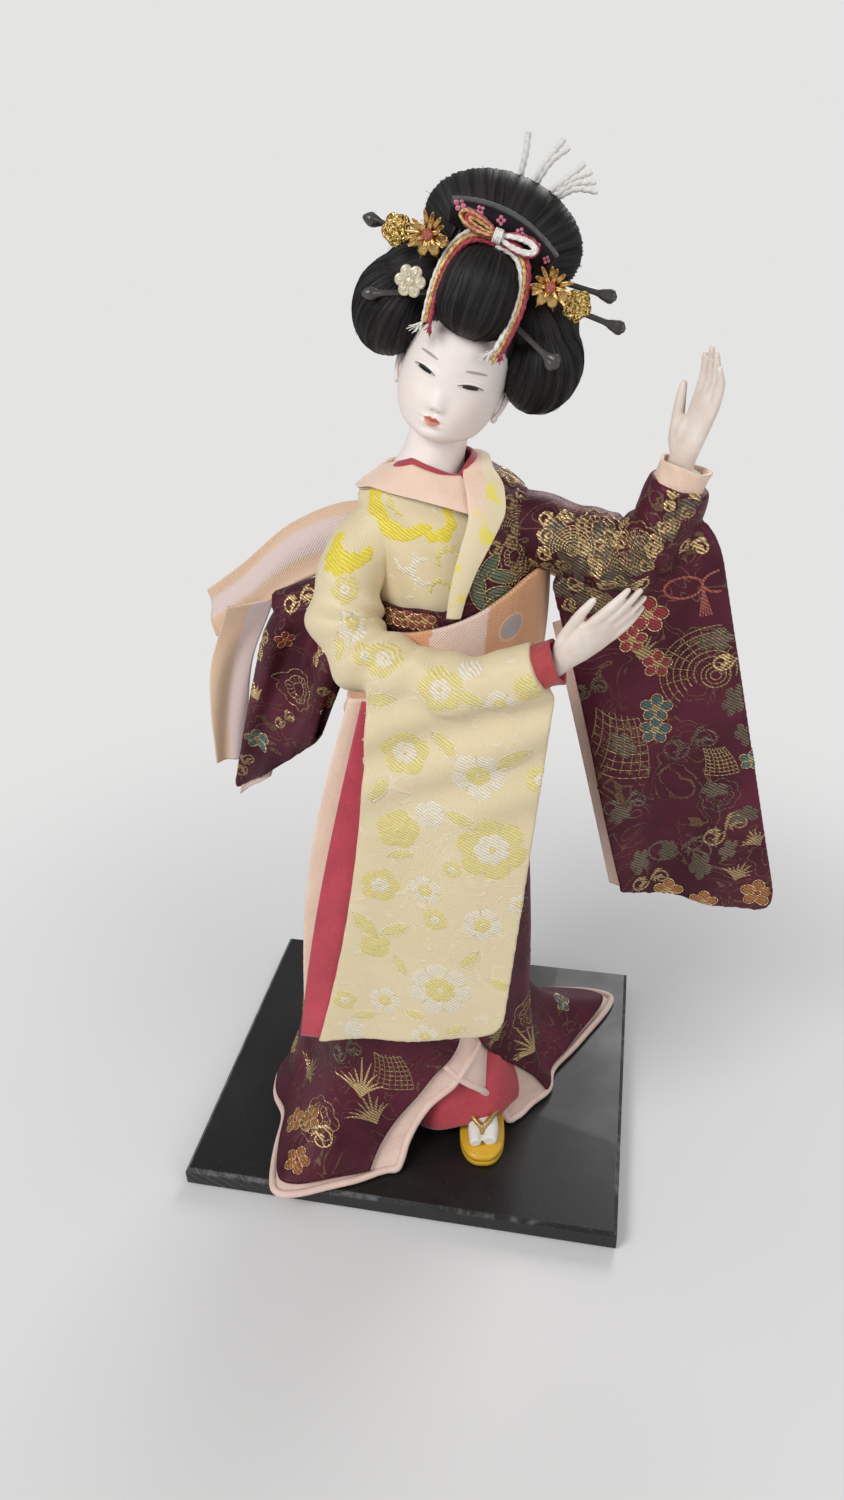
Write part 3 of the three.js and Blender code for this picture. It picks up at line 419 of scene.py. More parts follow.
def moulded(name, form, voxel, rounds, finish):
    """One skin over forms that run into each other, with its creases eased."""
    piece = join(name, *form, finish)
    remesh = piece.modifiers.new("skin", "REMESH")
    remesh.mode = "VOXEL"
    remesh.voxel_size = voxel * MM
    ease = piece.modifiers.new("ease", "SMOOTH")
    ease.factor = 0.5
    ease.iterations = rounds
    settle(piece)
    return piece


def finish_piece(piece, body, slot, *nodes):
    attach(piece, body)
    if nodes:
        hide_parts(*nodes)


yellow_cover = mottled("yellow_cover", (0.62, 0.33, 0.012), (0.80, 0.47, 0.03), 900, 3,
                       bump=(0.25, 0.0002), Roughness=0.42, Coat_Weight=0.2)
gold_cord = mottled("gold_cord", (0.30, 0.17, 0.04), (0.78, 0.56, 0.22), 1600, 2,
                    bump=(0.5, 0.0003), Metallic=0.85, Roughness=0.42)

board_top = 8.3
sandal_length, sandal_width = 36, 17
feet = {"left": ((28, -44), (22.5, -8.5)), "right": ((-6, -24), (-5, 12))}


def foot_frame(side):
    toe, heel = feet[side]
    turn = math.atan2(toe[0] - heel[0], heel[1] - toe[1])
    middle = ((toe[0] + heel[0]) / 2, (toe[1] + heel[1]) / 2, board_top)
    return Matrix.Translation(middle) @ Matrix.Rotation(turn, 4, "Z")


def sole_form():
    turn = full_turn(72)
    c, s = np.cos(turn), np.sin(turn)
    waist = 1 - 0.1 * hump(s, 0.2, 0.5)
    rings = []
    for z, inset in ((0, 0.5), (0.5, 0), (2.2, 0), (2.45, 0.35), (2.7, 0), (4.3, 0), (5, 0.8)):
        x = (sandal_width / 2 - inset) * waist * np.sign(c) * np.abs(c) ** 0.75
        y = (sandal_length / 2 - inset) * np.sign(s) * np.abs(s) ** 0.8
        rings.append(points_at(x, y, z))
    return rings_form(rings)


for side in feet:
    sole = join(f"{side}_sandal_sole", *placed(sole_form(), foot_frame(side)),
                yellow_cover)
    finish_piece(sole, "figure", "yellow_sandal", f"{side}_sandal")
    straps = [tube_form([(0, -10.5, 4.6), (0, -10.2, 9.9), (way * 3, -7, 12), (way * 6.8, 0, 9.7),
                         (way * 7.4, 4, 4.6)], [0.85, 0.95, 0.85], sides=10, steps=30)
              for way in (-1, 1)]
    knot = lump_form((0, -9.6, 10.4), (1.3, 1.1, 1.4), 12, 8)
    thong = join(f"{side}_sandal_thong", *placed(together(*straps, knot), foot_frame(side)),
                 gold_cord)
    finish_piece(thong, "figure", "yellow_sandal")

# Socked feet
# White cotton socks, split at the big toe for the thong, over carved feet. The ankle goes
# up inside the skirts.
white_cotton = mottled("white_cotton", (0.74, 0.71, 0.66), (0.86, 0.84, 0.80), 1500, 2,
                       bump=(0.3, 0.0002), Roughness=0.9, Sheen_Weight=0.2)
for side, inward in (("left", -1), ("right", 1)):
    foot = together(
        tube_form([(inward * 2.4, -14.2, 7.4), (inward * 2.6, -9, 8.0), (inward * 1.5, 0, 9.0)],
                  [2.0, 2.5, 3.4], 14, 10),
        tube_form([(-inward * 2.6, -13.2, 7.3), (-inward * 2.8, -8, 7.9), (-inward * 1.2, 0, 9.0)],
                  [2.4, 3.1, 3.6], 14, 10),
        lump_form((0, -1, 8.6), (5.6, 9.5, 3.4)),
        lump_form((0, 6, 9.6), (5.2, 6.4, 4.4)),
        tube_form([(0, 5, 8), (inward * 2, 8, 17), (inward * 5, 12, 26)], [5.6, 5.1, 4.8], 18, 12),
    )
    sock = moulded(f"{side}_sock", placed(foot, foot_frame(side)), 0.45, 4, white_cotton)
    finish_piece(sock, "figure", "white_cotton", f"{side}_foot")


# Red underskirt
# A plain red wrap of crepe that flares over the front foot and shows between the flaps of
# the kimono. It is wound round the straw column under everything else.
figure_rows = [  # height, middle x and y, half width, half depth
    (30, 4, -5, 26, 22), (70, 2, -4, 30, 24), (110, 2, -2, 30, 23), (150, 6, -2, 25, 20),
    (180, 11, -2, 22, 16.5), (205, 13, -2.5, 21.5, 15.5), (222, 12, -2.5, 22.6, 15),
    (231, 10.8, -2.5, 22.2, 13), (235.5, 9, -3, 19.6, 11.8), (239, 8.6, -3, 14, 10.2),
    (242, 9, -3, 10, 9), (247, 9.8, -3, 9.2, 8.8),
]


def along(table, t):
    """A smooth reading of a table whose first column is the position."""
    table, t = np.asarray(table, float), np.asarray(t, float)
    i = np.clip(np.searchsorted(table[:, 0], t) - 1, 0, len(table) - 2)
    a, b = table[i], table[i + 1]
    before, after = table[np.maximum(i - 1, 0)], table[np.minimum(i + 2, len(table) - 1)]
    step = b[..., :1] - a[..., :1]
    s = (t[..., None] - a[..., :1]) / step
    leave = (b - before) / (b[..., :1] - before[..., :1]) * step
    reach = (after - a) / (after[..., :1] - a[..., :1]) * step
    values = (a * (1 + 2 * s) * (1 - s) ** 2 + leave * s * (1 - s) ** 2
              + b * s * s * (3 - 2 * s) + reach * s * s * (s - 1))
    return np.moveaxis(values[..., 1:], -1, 0)


def lifted(spot, turn, z, lift):
    """A surface of turn and height, moved out along its own normal."""
    way_round = spot(turn + 1e-3, z) - spot(turn - 1e-3, z)
    way_up = spot(turn, z + 1e-2) - spot(turn, z - 1e-2)
    return spot(turn, z) + np.asarray(lift)[..., None] * unit(np.cross(way_round, way_up))


def figure_spot(turn, z):
    x, y, wide, deep = along(figure_rows, z)
    return points_at(x + wide * np.cos(turn), y + deep * np.sin(turn), z)


def on_figure(turn, z, lift):
    return lifted(figure_spot, turn, z, lift)


def cloth(name, spot, across, down, thickness, finish, ring=False, folded=None):
    """A layer of cloth over spot(u, v), with coordinates in millimetres, and its flat size.
    A folded one is two layers that are open along their first or last edge."""
    u, v = np.meshgrid(np.linspace(0, 1, across + 1), np.linspace(0, 1, down + 1))
    e = 1e-3
    middle = spot(u, v)
    facing = np.cross(spot(u + e, v) - spot(u - e, v), spot(u, v + e) - spot(u, v - e))
    facing = unit(facing) * thickness / 2
    step_u = np.linalg.norm(np.diff(middle, axis=1), axis=-1)
    step_v = np.linalg.norm(np.diff(middle, axis=0), axis=-1)
    width = np.pad(np.cumsum(step_u, 1), ((0, 0), (1, 0)))
    width = width - width[:, across // 2:across // 2 + 1]
    length = np.pad(np.cumsum(step_v.mean(1)), (1, 0))
    columns = across if ring else across + 1
    front = np.arange((down + 1) * columns).reshape(down + 1, columns)
    total = front.size
    if ring:
        front = np.concatenate([front, front[:, :1]], 1)
    quads = np.stack([front[:-1, :-1], front[1:, :-1], front[1:, 1:], front[:-1, 1:]], -1)
    faces = np.concatenate([quads.reshape(-1, 4), quads.reshape(-1, 4)[:, ::-1] + total])
    rims = [front[0], front[-1]] + ([] if ring else [front[:, 0], front[:, -1]])
    if folded:
        rims.pop(("first", "last").index(folded))
    walls = [np.stack([rim[:-1], rim[1:], rim[1:] + total, rim[:-1] + total], -1) for rim in rims]
    faces = np.concatenate([faces, *walls])
    both = np.concatenate([(middle + facing)[:, :columns], (middle - facing)[:, :columns]])
    piece = join(name, both.reshape(-1, 3), faces.tolist(), finish)
    mesh = piece.data
    corner = np.zeros(len(mesh.loops), int)
    mesh.loops.foreach_get("vertex_index", corner)
    row, column = corner // columns % (down + 1), corner % columns
    if ring:
        by_face = column.reshape(-1, 4)
        seam = by_face.max(1) - by_face.min(1) > 1
        column = np.where(seam[:, None] & (by_face == 0), across, by_face).ravel()
    place = points_at(width[row, column], length[row])
    mesh.uv_layers.new(name="cloth").data.foreach_set("uv", place.ravel())
    layers = 2 if folded else 1
    return piece, (step_u.sum(1).mean() * MM, layers * step_v.sum(0).mean() * MM)


def sheet(name, spot, across, down, thickness, finish, slot, node, how, held_by, **shape):
    """A layer of cloth on the figure, in place of its solid; held_by, the nodes meant to hold it, is
    not used.
    """
    piece, flat = cloth(name, spot, across, down, thickness, finish, **shape)
    finish_piece(piece, "figure", slot, node)


def plain_silk(name, dark, light, slub, **constants):
    """Thin plain-woven silk; slub is how strongly its uneven threads stand out."""
    silk = Finish(name, **{"Roughness": 0.62, "Sheen_Weight": 0.25, **constants})
    x, y, _ = silk.parts(silk.cloth_place())
    weft = silk.noise(silk.vector(x * 0.35, y * 4.5), 1.0, detail=3)
    warp = silk.noise(silk.vector(x * 4.5, y * 0.3), 1.0, detail=2)
    cloud = silk.noise(silk.vector(x, y), 0.06, detail=4)
    silk.set("Base Color", silk.blend(
        silk.soft(weft * 0.4 + warp * 0.3 + cloud * 0.5, 0.35, 0.85), dark, light))
    threads = silk.math("SINE", x * 12.5) * silk.math("SINE", y * 12.5)
    silk.raise_by(weft * slub + warp * slub + threads * 0.25, 0.35, 0.0003)
    return silk


red_crepe = plain_silk("red_crepe", (0.36, 0.022, 0.035), (0.60, 0.062, 0.088), 0.8)


def red_skirt_spot(u, v):
    turn = -u * 2 * np.pi
    over_foot = hump(np.cos(turn + math.radians(50)), 1, 0.22)
    z = 66 + (10 + 7 * over_foot - 66) * v
    p = on_figure(turn, np.maximum(z, 30), 1.5 + 0 * turn)
    folds = 0.7 * np.cos(11 * turn + 3 * v) * blend_step(v, 0.3, 1)
    spread = (2 + 8 * over_foot) * blend_step(v, 0.2, 1) + folds
    return points_at(p[..., 0] + spread * np.cos(turn), p[..., 1] + spread * np.sin(turn), z)


sheet("red_underskirt_crepe", red_skirt_spot, 180, 44, 0.8, red_crepe, "red_silk",
      "red_underskirt", "hung", ["body_core"], ring=True)


# Purple skirt
# Heavy purple satin brocade with vines woven in bronze. It is wrapped round the hips, open at
# the front, and its hem trails over the board in two flaps. Gold threads are couched on top.
satin = Finish("purple_brocade", Specular_IOR_Level=0.5, Specular_Tint=(1.0, 0.46, 0.52))
spot = satin.object_place()
bend = satin.noise(spot, 85, detail=1, distortion=1.2)
vine = satin.most(satin.line(bend, 0.44, 0.018), satin.line(bend, 0.57, 0.015))
vine = vine * satin.soft(satin.noise(spot, 45, detail=0), 0.38, 0.46)
cloud = satin.noise(spot, 40, detail=4)
fibre = satin.noise(spot, 1900, detail=2)
shade = satin.blend(satin.soft(cloud, 0.3, 0.7), (0.028, 0.004, 0.009), (0.090, 0.013, 0.028))
shade = satin.blend(vine * satin.soft(fibre, 0.3, 0.6) * 0.8, shade, (0.20, 0.135, 0.075))
satin.set("Base Color", shade)
satin.set("Metallic", vine * 0.5)
satin.set("Roughness", fibre * 0.24 + 0.36)
satin.raise_by(vine * 1.5 + fibre * 0.9, 0.45, 0.0003)
waist_height, hem_height = 188, 12
skirt_rows = [
    (hem_height, -6, -6, 47, 44), (18, -5, -6, 44, 39), (35, -3, -5, 40, 35),
    (60, -2, -4, 38, 32.5), (88, -0.5, -3, 37, 30), (120, 2.5, -2, 33, 26.5),
    (150, 6, -2, 28.3, 23), (172, 10, -2, 25, 19.4), (waist_height, 11.8, -2.2, 24.4, 18.7),
]


def skirt_spot(turn, z):
    x, y, wide, deep = along(skirt_rows, z)
    degrees = np.degrees(turn)
    train = (20 * np.exp(-(np.abs(degrees + 119) / 19) ** 1.5)
             + 38 * np.exp(-(np.abs(degrees + 325) / 19) ** 1.4))
    low = 1 - blend_step(z, 20, 130)
    out = train * np.exp(-(z - hem_height) / 15) + 1.8 * np.cos(7 * turn + 0.6) * low
    out = out + 0.55 * np.cos(19 * turn + 0.03 * z) * (1 - blend_step(z, 14, 150))
    out = out + 0.5 * np.cos(31 * turn + 0.5) * blend_step(z, 120, 176)
    drape = 0.5 + 0.5 * np.cos(9 * turn + 1.4 * np.sin(z / 38))
    out = out + 1.6 * drape ** 2 * blend_step(165 - z, 0, 60)
    return points_at(x + (wide + out) * np.cos(turn), y + (deep + out) * np.sin(turn), z)


def skirt_height(v):
    up = 1 - v
    return hem_height + (waist_height - hem_height) * up * (0.16 + 0.84 * np.sqrt(np.abs(up)))


def on_skirt(u, z, inset):
    part = blend_step(z, hem_height, 62)
    wrap = blend_step(z, 62, 105)
    left = np.radians(-94 + 36 * part)
    right = np.radians(-364 - 46 * part - 14 * wrap)
    turn = left + (right - left) * u
    over = 1.25 * wrap * blend_step(-np.degrees(turn), 408, 416) * blend_step(187 - z, 0, 9)
    return lifted(skirt_spot, turn, z, over - inset)


purple_skirt, flat = cloth("purple_skirt_brocade", lambda u, v: on_skirt(u, skirt_height(v), 0),
                           230, 90, 1.0, satin)
finish_piece(purple_skirt, "figure", "purple_brocade", "purple_skirt")


def mesh_spots(mesh):
    """A mesh's points in millimetres."""
    spots = np.zeros(len(mesh.vertices) * 3)
    mesh.vertices.foreach_get("co", spots)
    return spots.reshape(-1, 3) / MM


class Stitching:
    """Threads and satin patches laid on a piece of cloth, each with its dye."""
    search, sunk, raised, tucked = 22, 0.08, 0.24, 0.12

    def __init__(self, piece):
        faces = [tuple(face.vertices) for face in piece.data.polygons]
        self.tree = BVHTree.FromPolygons(mesh_spots(piece.data).tolist(), faces)
        self.points, self.faces, self.dyes, self.count = [], [], [], 0

    def aim(self, middle, facing, turn=0.0, top=(0, 0, 1)):
        """Sets the flat frame that the next stitches are drawn in."""
        self.middle = np.asarray(middle, float)
        self.facing = unit(np.asarray(facing, float))
        right = unit(np.cross(np.asarray(top, float), self.facing))
        upward = np.cross(self.facing, right)
        self.right = right * math.cos(turn) + upward * math.sin(turn)
        self.up = upward * math.cos(turn) - right * math.sin(turn)

    def land(self, flat):
        """Where flat points come down on the cloth, and the cloth's normals there."""
        flat = np.asarray(flat, float)
        start = self.middle + flat[:, :1] * self.right + flat[:, 1:] * self.up
        spots, normals = np.full((len(flat), 3), np.nan), np.zeros((len(flat), 3))
        for k, p in enumerate(start):
            hit, normal, _, _ = self.tree.ray_cast(
                Vector(p + self.search * self.facing), Vector(-self.facing), 2 * self.search)
            if hit is not None:
                spots[k], normals[k] = hit, normal
        flip = np.sign((normals @ self.facing))[:, None]
        return spots, normals * flip

    def keep(self, points, faces, dye, longest):
        """Adds the faces that lie wholly on the cloth."""
        points = np.asarray(points)
        good = []
        for face in faces:
            corner = points[list(face)]
            spread = np.linalg.norm(corner - np.roll(corner, 1, 0), axis=1).max()
            if not np.isnan(spread) and spread < longest:
                good.append(face)
        used = sorted({k for face in good for k in face})
        number = {k: self.count + n for n, k in enumerate(used)}
        self.points.append(points[used].reshape(-1, 3))
        self.faces += [tuple(number[k] for k in face) for face in good]
        self.dyes += [dye] * len(used)
        self.count += len(used)

    def thread(self, path, width, dye):
        """A raised thread along a flat path; the width may change along it."""
        path = np.asarray(path, float)
        spots, normals = self.land(path)
        run = np.gradient(spots, axis=0)
        side = unit(np.cross(normals, run)) * (np.broadcast_to(width, len(path))[:, None] / 2)
        rows = np.stack([spots + side - normals * self.sunk, spots + normals * self.raised,
                         spots - side - normals * self.sunk], 1).reshape(-1, 3)
        faces = []
        for k in range(len(path) - 1):
            a = 3 * k
            faces += [(a, a + 1, a + 4, a + 3), (a + 1, a + 2, a + 5, a + 4)]
        step = np.linalg.norm(np.diff(path, axis=0), axis=1).max()
        self.keep(rows, faces, dye, max(3.0 * step, 1.5))

    def patch(self, outline, dye, middle=(0, 0), raise_to=0.2):
        """A satin-stitched patch inside a closed flat outline."""
        outline, middle = np.asarray(outline, float), np.asarray(middle, float)
        count = len(outline)
        size = np.linalg.norm(outline - middle, axis=1).max()
        shares = np.linspace(0, 1, max(3, int(size / 1.3) + 2))[1:]
        flat = np.concatenate([[middle]] + [middle + (outline - middle) * s for s in shares])
        spots, normals = self.land(flat)
        height = np.full(len(flat), raise_to)
        height[-count:] = -self.tucked
        faces = []
        for k in range(count):
            n = (k + 1) % count
            faces.append((0, 1 + k, 1 + n))
            for ring in range(len(shares) - 1):
                a = 1 + ring * count
                faces.append((a + k, a + count + k, a + count + n, a + n))
        self.keep(spots + normals * height[:, None], faces, dye, size * 0.9 + 1.5)

    def sewn(self, name, finish, slot):
        """The stitches as a piece of the figure."""
        piece = join(name, np.concatenate(self.points), self.faces, finish)
        dye = piece.data.attributes.new("dye", "FLOAT_COLOR", "POINT")
        colours = np.concatenate([np.asarray(self.dyes), np.ones((self.count, 1))], 1)
        dye.data.foreach_set("color", colours.astype(np.float32).ravel())
        finish_piece(piece, "figure", slot)
        return piece


def thread_finish(name, metallic, roughness, hollow=(0.34, 0.30, 0.28)):
    silk = Finish(name, Roughness=roughness, Sheen_Weight=0.1)
    spot = silk.object_place()
    sparkle = silk.noise(spot, 1500, detail=2)
    dyed = silk.node("Attribute", {}, attribute_name="dye")
    # Painted glints and shade: a thread shows its full dye where the noise and the stitch strokes are
    # high, and elsewhere it is darkened by hollow as painted shade between the strokes.
    dark = silk.node("Mix", {0: 1.0, 6: dyed, 7: hollow}, output=2,
                     data_type="RGBA", blend_type="MULTIPLY")
    across, _, up = silk.parts(spot)
    strokes = silk.math("SINE", (across * 0.55 + up) * 6500 + silk.noise(spot, 260) * 9) * 0.5 + 0.5
    lit = silk.soft(sparkle * 0.6 + strokes * 0.4, 0.30, 0.62)
    silk.set("Base Color", silk.blend(lit, dark, dyed))
    if metallic:
        silk.set("Metallic", silk.soft(sparkle, 0.3, 0.6) * metallic)
    silk.raise_by(sparkle * 0.6 + strokes * 0.7, 0.6, 0.0004)
    return silk


gold_thread = thread_finish("gold_thread", 0.85, 0.36)
dyed_thread = thread_finish("dyed_thread", 0.0, 0.5)
bright_gold, dull_gold, bronze = (0.80, 0.58, 0.27), (0.46, 0.32, 0.15), (0.17, 0.125, 0.085)
orange, teal = (0.42, 0.155, 0.030), (0.075, 0.150, 0.150)
crimson, leaf_green = (0.34, 0.020, 0.030), (0.085, 0.105, 0.060)


def ray(angle):
    return np.array([[math.cos(angle), math.sin(angle)]])


def ring_path(radius, count=24, squash=1.0, turn=0.0, middle=(0, 0)):
    a = np.linspace(0, 2 * np.pi, count + 1)
    x, y = radius * np.cos(a), radius * squash * np.sin(a)
    c, s = math.cos(turn), math.sin(turn)
    return points_at(middle[0] + c * x - s * y, middle[1] + s * x + c * y)


def stitch_blossom(dyes, golds, size, dye, heart):
    """A round flower: five satin petals with gold outlines about a heart."""
    for a in 2 * math.pi * np.arange(5) / 5 + 0.3:
        spot = 0.56 * size * ray(a)[0]
        petal = ring_path(0.46 * size, 16, 0.80, a, spot)
        dyes.patch(petal[:-1], dye, spot)
        golds.thread(petal, 0.42, bright_gold)
    core = ring_path(0.22 * size, 12)
    dyes.patch(core[:-1], heart, (0, 0), 0.3)
    golds.thread(core, 0.4, bright_gold)


def stitch_scroll(golds, size, dye, width=0.7):
    """A vine that curls up at both ends, with short leaves."""
    a = np.linspace(0, 2.6 * np.pi, 44)
    curl = 0.42 * size * np.exp(-0.17 * a)
    for way in (1, -1):
        x = way * (0.46 * size - curl * np.cos(a))
        y = way * (curl * np.sin(a))
        golds.thread(points_at(x, y), width, dye)
        for k, (low, high) in enumerate(((0.2, 0.9), (-0.2, -1.1), (0.5, 0.3))):
            tip = (way * size * high * 0.6, way * size * (0.42 - 0.3 * k))
            base = (way * size * low * 0.5, way * size * 0.05)
            t = np.linspace(0, 1, 9)[:, None]
            bow = np.array([[0, 0.14 * size]]) * np.sin(np.pi * t)
            leaf = np.array([base]) * (1 - t) + np.array([tip]) * t + bow
            golds.thread(leaf, width * (1.5 * np.sin(np.pi * t[:, 0]) + 0.3), dye)


def stitch_grass(golds, size, blades, dye):
    """A spray of long blades from one root, as bamboo grass."""
    t = np.linspace(0, 1, 16)
    for k in range(blades):
        lean = -1.0 + 2.0 * k / (blades - 1)
        reach = size * (1.0 - 0.35 * abs(lean)) * (0.86 + 0.14 * math.cos(5 * k))
        x = reach * (0.75 * lean * t + 0.30 * lean * t * t)
        y = reach * (1.15 * t - 0.42 * abs(lean) * t * t)
        golds.thread(points_at(x, y), 0.95 * np.sin(np.pi * (0.15 + 0.8 * t)) + 0.15, dye)


def stitch_net(golds, wide, high, dye):
    """A drying net: a curved trapeze of crossed threads."""
    t = np.linspace(0, 1, 18)
    for k in np.linspace(-1, 1, 8):
        x = wide * k * (0.30 + 0.20 * t) - wide * 0.25 * (1 - t) ** 2
        golds.thread(points_at(x, high * (0.5 - t)), 0.4, dye)
    for k in np.linspace(0, 1, 8):
        x = wide * (2 * t - 1) * (0.30 + 0.20 * k) - wide * 0.25 * (1 - k) ** 2
        y = high * (0.5 - k) - high * 0.10 * np.sin(np.pi * t)
        golds.thread(points_at(x, y), 0.4, dye)


def stitch_fan_scroll(golds, size, dye):
    """Arcs inside one another, with rings at the foot, as an open fan or wave."""
    for k in range(6):
        a = np.linspace(-0.35 * np.pi, 0.95 * np.pi, 34) + 0.05 * k
        r = size * (0.34 + 0.13 * k)
        golds.thread(points_at(r * np.cos(a), r * 0.92 * np.sin(a)), 0.55 - 0.03 * k, dye)
    for k in range(3):
        golds.thread(ring_path(size * (0.10 + 0.085 * k), 20, middle=(0, -0.1 * size)), 0.5, dye)
    for k in range(9):
        a = -0.2 * np.pi + 0.13 * np.pi * k
        golds.thread(np.linspace(0.40, 0.92, 6)[:, None] * size * ray(a), 0.35, dye)


def stitch_peony(golds, size, dye):
    """A full flower in outline: rows of lobes about a ringed heart."""
    for r, lobes in ((1.0, 8), (0.68, 7), (0.38, 5)):
        a = np.linspace(0, 2 * np.pi, 14 * lobes // 2 + 1)
        edge = size * r * (0.82 + 0.18 * np.abs(np.cos(lobes * a / 2)) ** 0.7)
        golds.thread(points_at(edge * np.cos(a), edge * np.sin(a)), 0.5, dye)
    for k in range(16):
        a = 2 * np.pi * k / 16
        golds.thread(np.linspace(0.42, 0.62, 4)[:, None] * size * ray(a), 0.3, dye)


def stitch(golds, kind, size, dye, width=0.7, blades=9, squat=0.9):
    """One of the gold motifs, by its name."""
    if kind == "scroll":
        stitch_scroll(golds, size, dye, width)
    elif kind == "grass":
        stitch_grass(golds, size, blades, dye)
    elif kind == "net":
        stitch_net(golds, size, squat * size, dye)
    elif kind == "fan":
        stitch_fan_scroll(golds, size, dye)
    else:
        stitch_peony(golds, size, dye)


gold_on_skirt, dye_on_skirt = Stitching(purple_skirt), Stitching(purple_skirt)


def aim_at_skirt(u, z, turn=0.0):
    spot = on_skirt(np.array([u]), np.array([float(z)]), 0)[0]
    out = on_skirt(np.array([u]), np.array([float(z)]), -5)[0] - spot
    for work in (gold_on_skirt, dye_on_skirt):
        work.aim(spot, out, turn)


skirt_motifs = [("grass", 13, dull_gold), ("scroll", 10, bronze), ("peony", 7.5, dull_gold),
                ("net", 14, dull_gold), ("grass", 13, dull_gold), ("scroll", 10, bronze)]
chance = np.random.default_rng(7)
for column in range(12):
    for row, z in enumerate((24, 48, 76, 104, 132)):
        aim_at_skirt((column + 0.35 + 0.5 * (row % 2)) / 12.2, z + chance.uniform(-5, 5),
                     chance.uniform(-0.5, 0.5))
        number = (column * 2 + row * 3) % 7
        size = chance.uniform(0.85, 1.1)
        if number < len(skirt_motifs):
            kind, full_size, dye = skirt_motifs[number]
            stitch(gold_on_skirt, kind, full_size * size, dye, 0.9, squat=12 / 14)
        else:
            dye = (orange, teal, crimson)[(column + row) % 3]
            stitch_blossom(dye_on_skirt, gold_on_skirt, 4.2 * size, dye, dull_gold)
for dx, dy in ((-7.5, 0), (6.5, 1.5), (0.5, 7.5)):
    aim_at_skirt(0.115 + dx * 0.0034, 15.5 + dy)
    stitch_blossom(dye_on_skirt, gold_on_skirt, 4.6, orange, crimson)
for u, z, turn, kind, size, blades in (
        (0.105, 22, 0, "scroll", 11, 0), (0.085, 34, 0, "grass", 15, 9),
        (0.955, 30, 0.4, "grass", 17, 11)):
    aim_at_skirt(u, z, turn)
    stitch(gold_on_skirt, kind, size, bright_gold, 0.8, blades)
skirt_gold = gold_on_skirt.sewn("skirt_gold_threads", gold_thread, "purple_brocade")
skirt_dyed = dye_on_skirt.sewn("skirt_dyed_flowers", dyed_thread, "purple_brocade")

# Skirt lining
# Pale pink silk sewn inside the skirt. It is turned out along the front edges and filled
# along the hem, where it shows as a soft pale roll round the flaps.
pink_silk = plain_silk("pink_silk", (0.66, 0.44, 0.36), (0.84, 0.64, 0.54), 0.5)
lining_edges = (-1 / 24, 1 + 2 / 24)


def lining_spot(u, v):
    z = skirt_height(0.5 + 0.5 * v + 0.03 * np.maximum(5 * v - 4, 0))
    first, last = lining_edges
    return on_skirt(first + (last - first) * u, z, 1.75)


skirt_lining, flat = cloth("skirt_lining_silk", lining_spot, 220, 60, 0.7, pink_silk)
finish_piece(skirt_lining, "figure", "pink_silk", "skirt_lining")
hem_low = float(skirt_height(np.array(1.03)))
falling = np.linspace(58, hem_low + 2.2, 12)
first_edge, last_edge = (on_skirt(np.full(12, u), falling, 1.5) for u in lining_edges)
across = np.linspace(lining_edges[0] + 0.004, lining_edges[1] - 0.004, 110)
hem_line = np.concatenate([
    first_edge, on_skirt(across, np.full(110, hem_low), 1.2), last_edge[::-1]])
roll_silk = Finish("hem_roll_silk", Roughness=0.6, Sheen_Weight=0.25)
spot = roll_silk.object_place()
crease = roll_silk.noise(spot, 260, detail=4)
roll_silk.set("Base Color", roll_silk.blend(crease, (0.68, 0.46, 0.38), (0.86, 0.67, 0.57)))
roll_silk.raise_by(crease + roll_silk.noise(spot, 1900) * 0.3, 0.4, 0.0005)
hem_roll = join("skirt_hem_roll", *tube_form(hem_line, [1.25, 1.35, 1.25], 10, 420, (0, 0, 1)),
                roll_silk)
finish_piece(hem_roll, "figure", "pink_silk")

# Cream bodice
# The body of the cream under-kimono, wrapped over the straw column. Only the right breast
# shows. It is a twill brocade with yellow and white flowers that stand out of the ground.
cream_silk = Finish("cream_brocade", Sheen_Weight=0.15)
spot = cream_silk.object_place()
across, deep, up = cream_silk.parts(spot)
twill = cream_silk.math("SINE", (across - deep * 0.6 + up * 0.8) * 8200)
fibre = cream_silk.noise(spot, 1500, detail=2)
cloud = cream_silk.noise(spot, 45, detail=4)
sprig = cream_silk.noise(spot, 150, detail=1, distortion=2.2)
sprigs = cream_silk.soft(sprig, 0.60, 0.66)
sprigs = sprigs * cream_silk.soft(cream_silk.noise(spot, 60), 0.45, 0.6)
shade = cream_silk.blend(cloud, (0.68, 0.555, 0.33), (0.79, 0.67, 0.435))
shade = cream_silk.blend(sprigs * 0.7, shade, (0.80, 0.70, 0.50))
cream_silk.set("Base Color", shade)
cream_silk.set("Roughness", 0.52 - sprigs * 0.12)
cream_silk.raise_by(sprigs * fibre * 3 + twill * 0.22 + fibre * 0.4, 0.4, 0.00025)
chest_heights = (188, 205, 219, 227, 232, 237)


def chest_height(v):
    return np.interp(v, np.linspace(0, 1, len(chest_heights)), chest_heights)


def cream_bodice_spot(u, v):
    turn = -u * 2 * np.pi
    crease = 0.35 * np.cos(9 * turn + 14 * v) * np.sin(np.pi * np.clip(v, 0, 1))
    return on_figure(turn, chest_height(v), 1.05 + crease)


cream_bodice, cream_flat = cloth("cream_bodice_brocade", cream_bodice_spot, 150, 60, 0.9,
                                 cream_silk, ring=True)
finish_piece(cream_bodice, "figure", "cream_brocade", "cream_bodice")
photo_centre, photo_focus = (422, 750), 1046.6


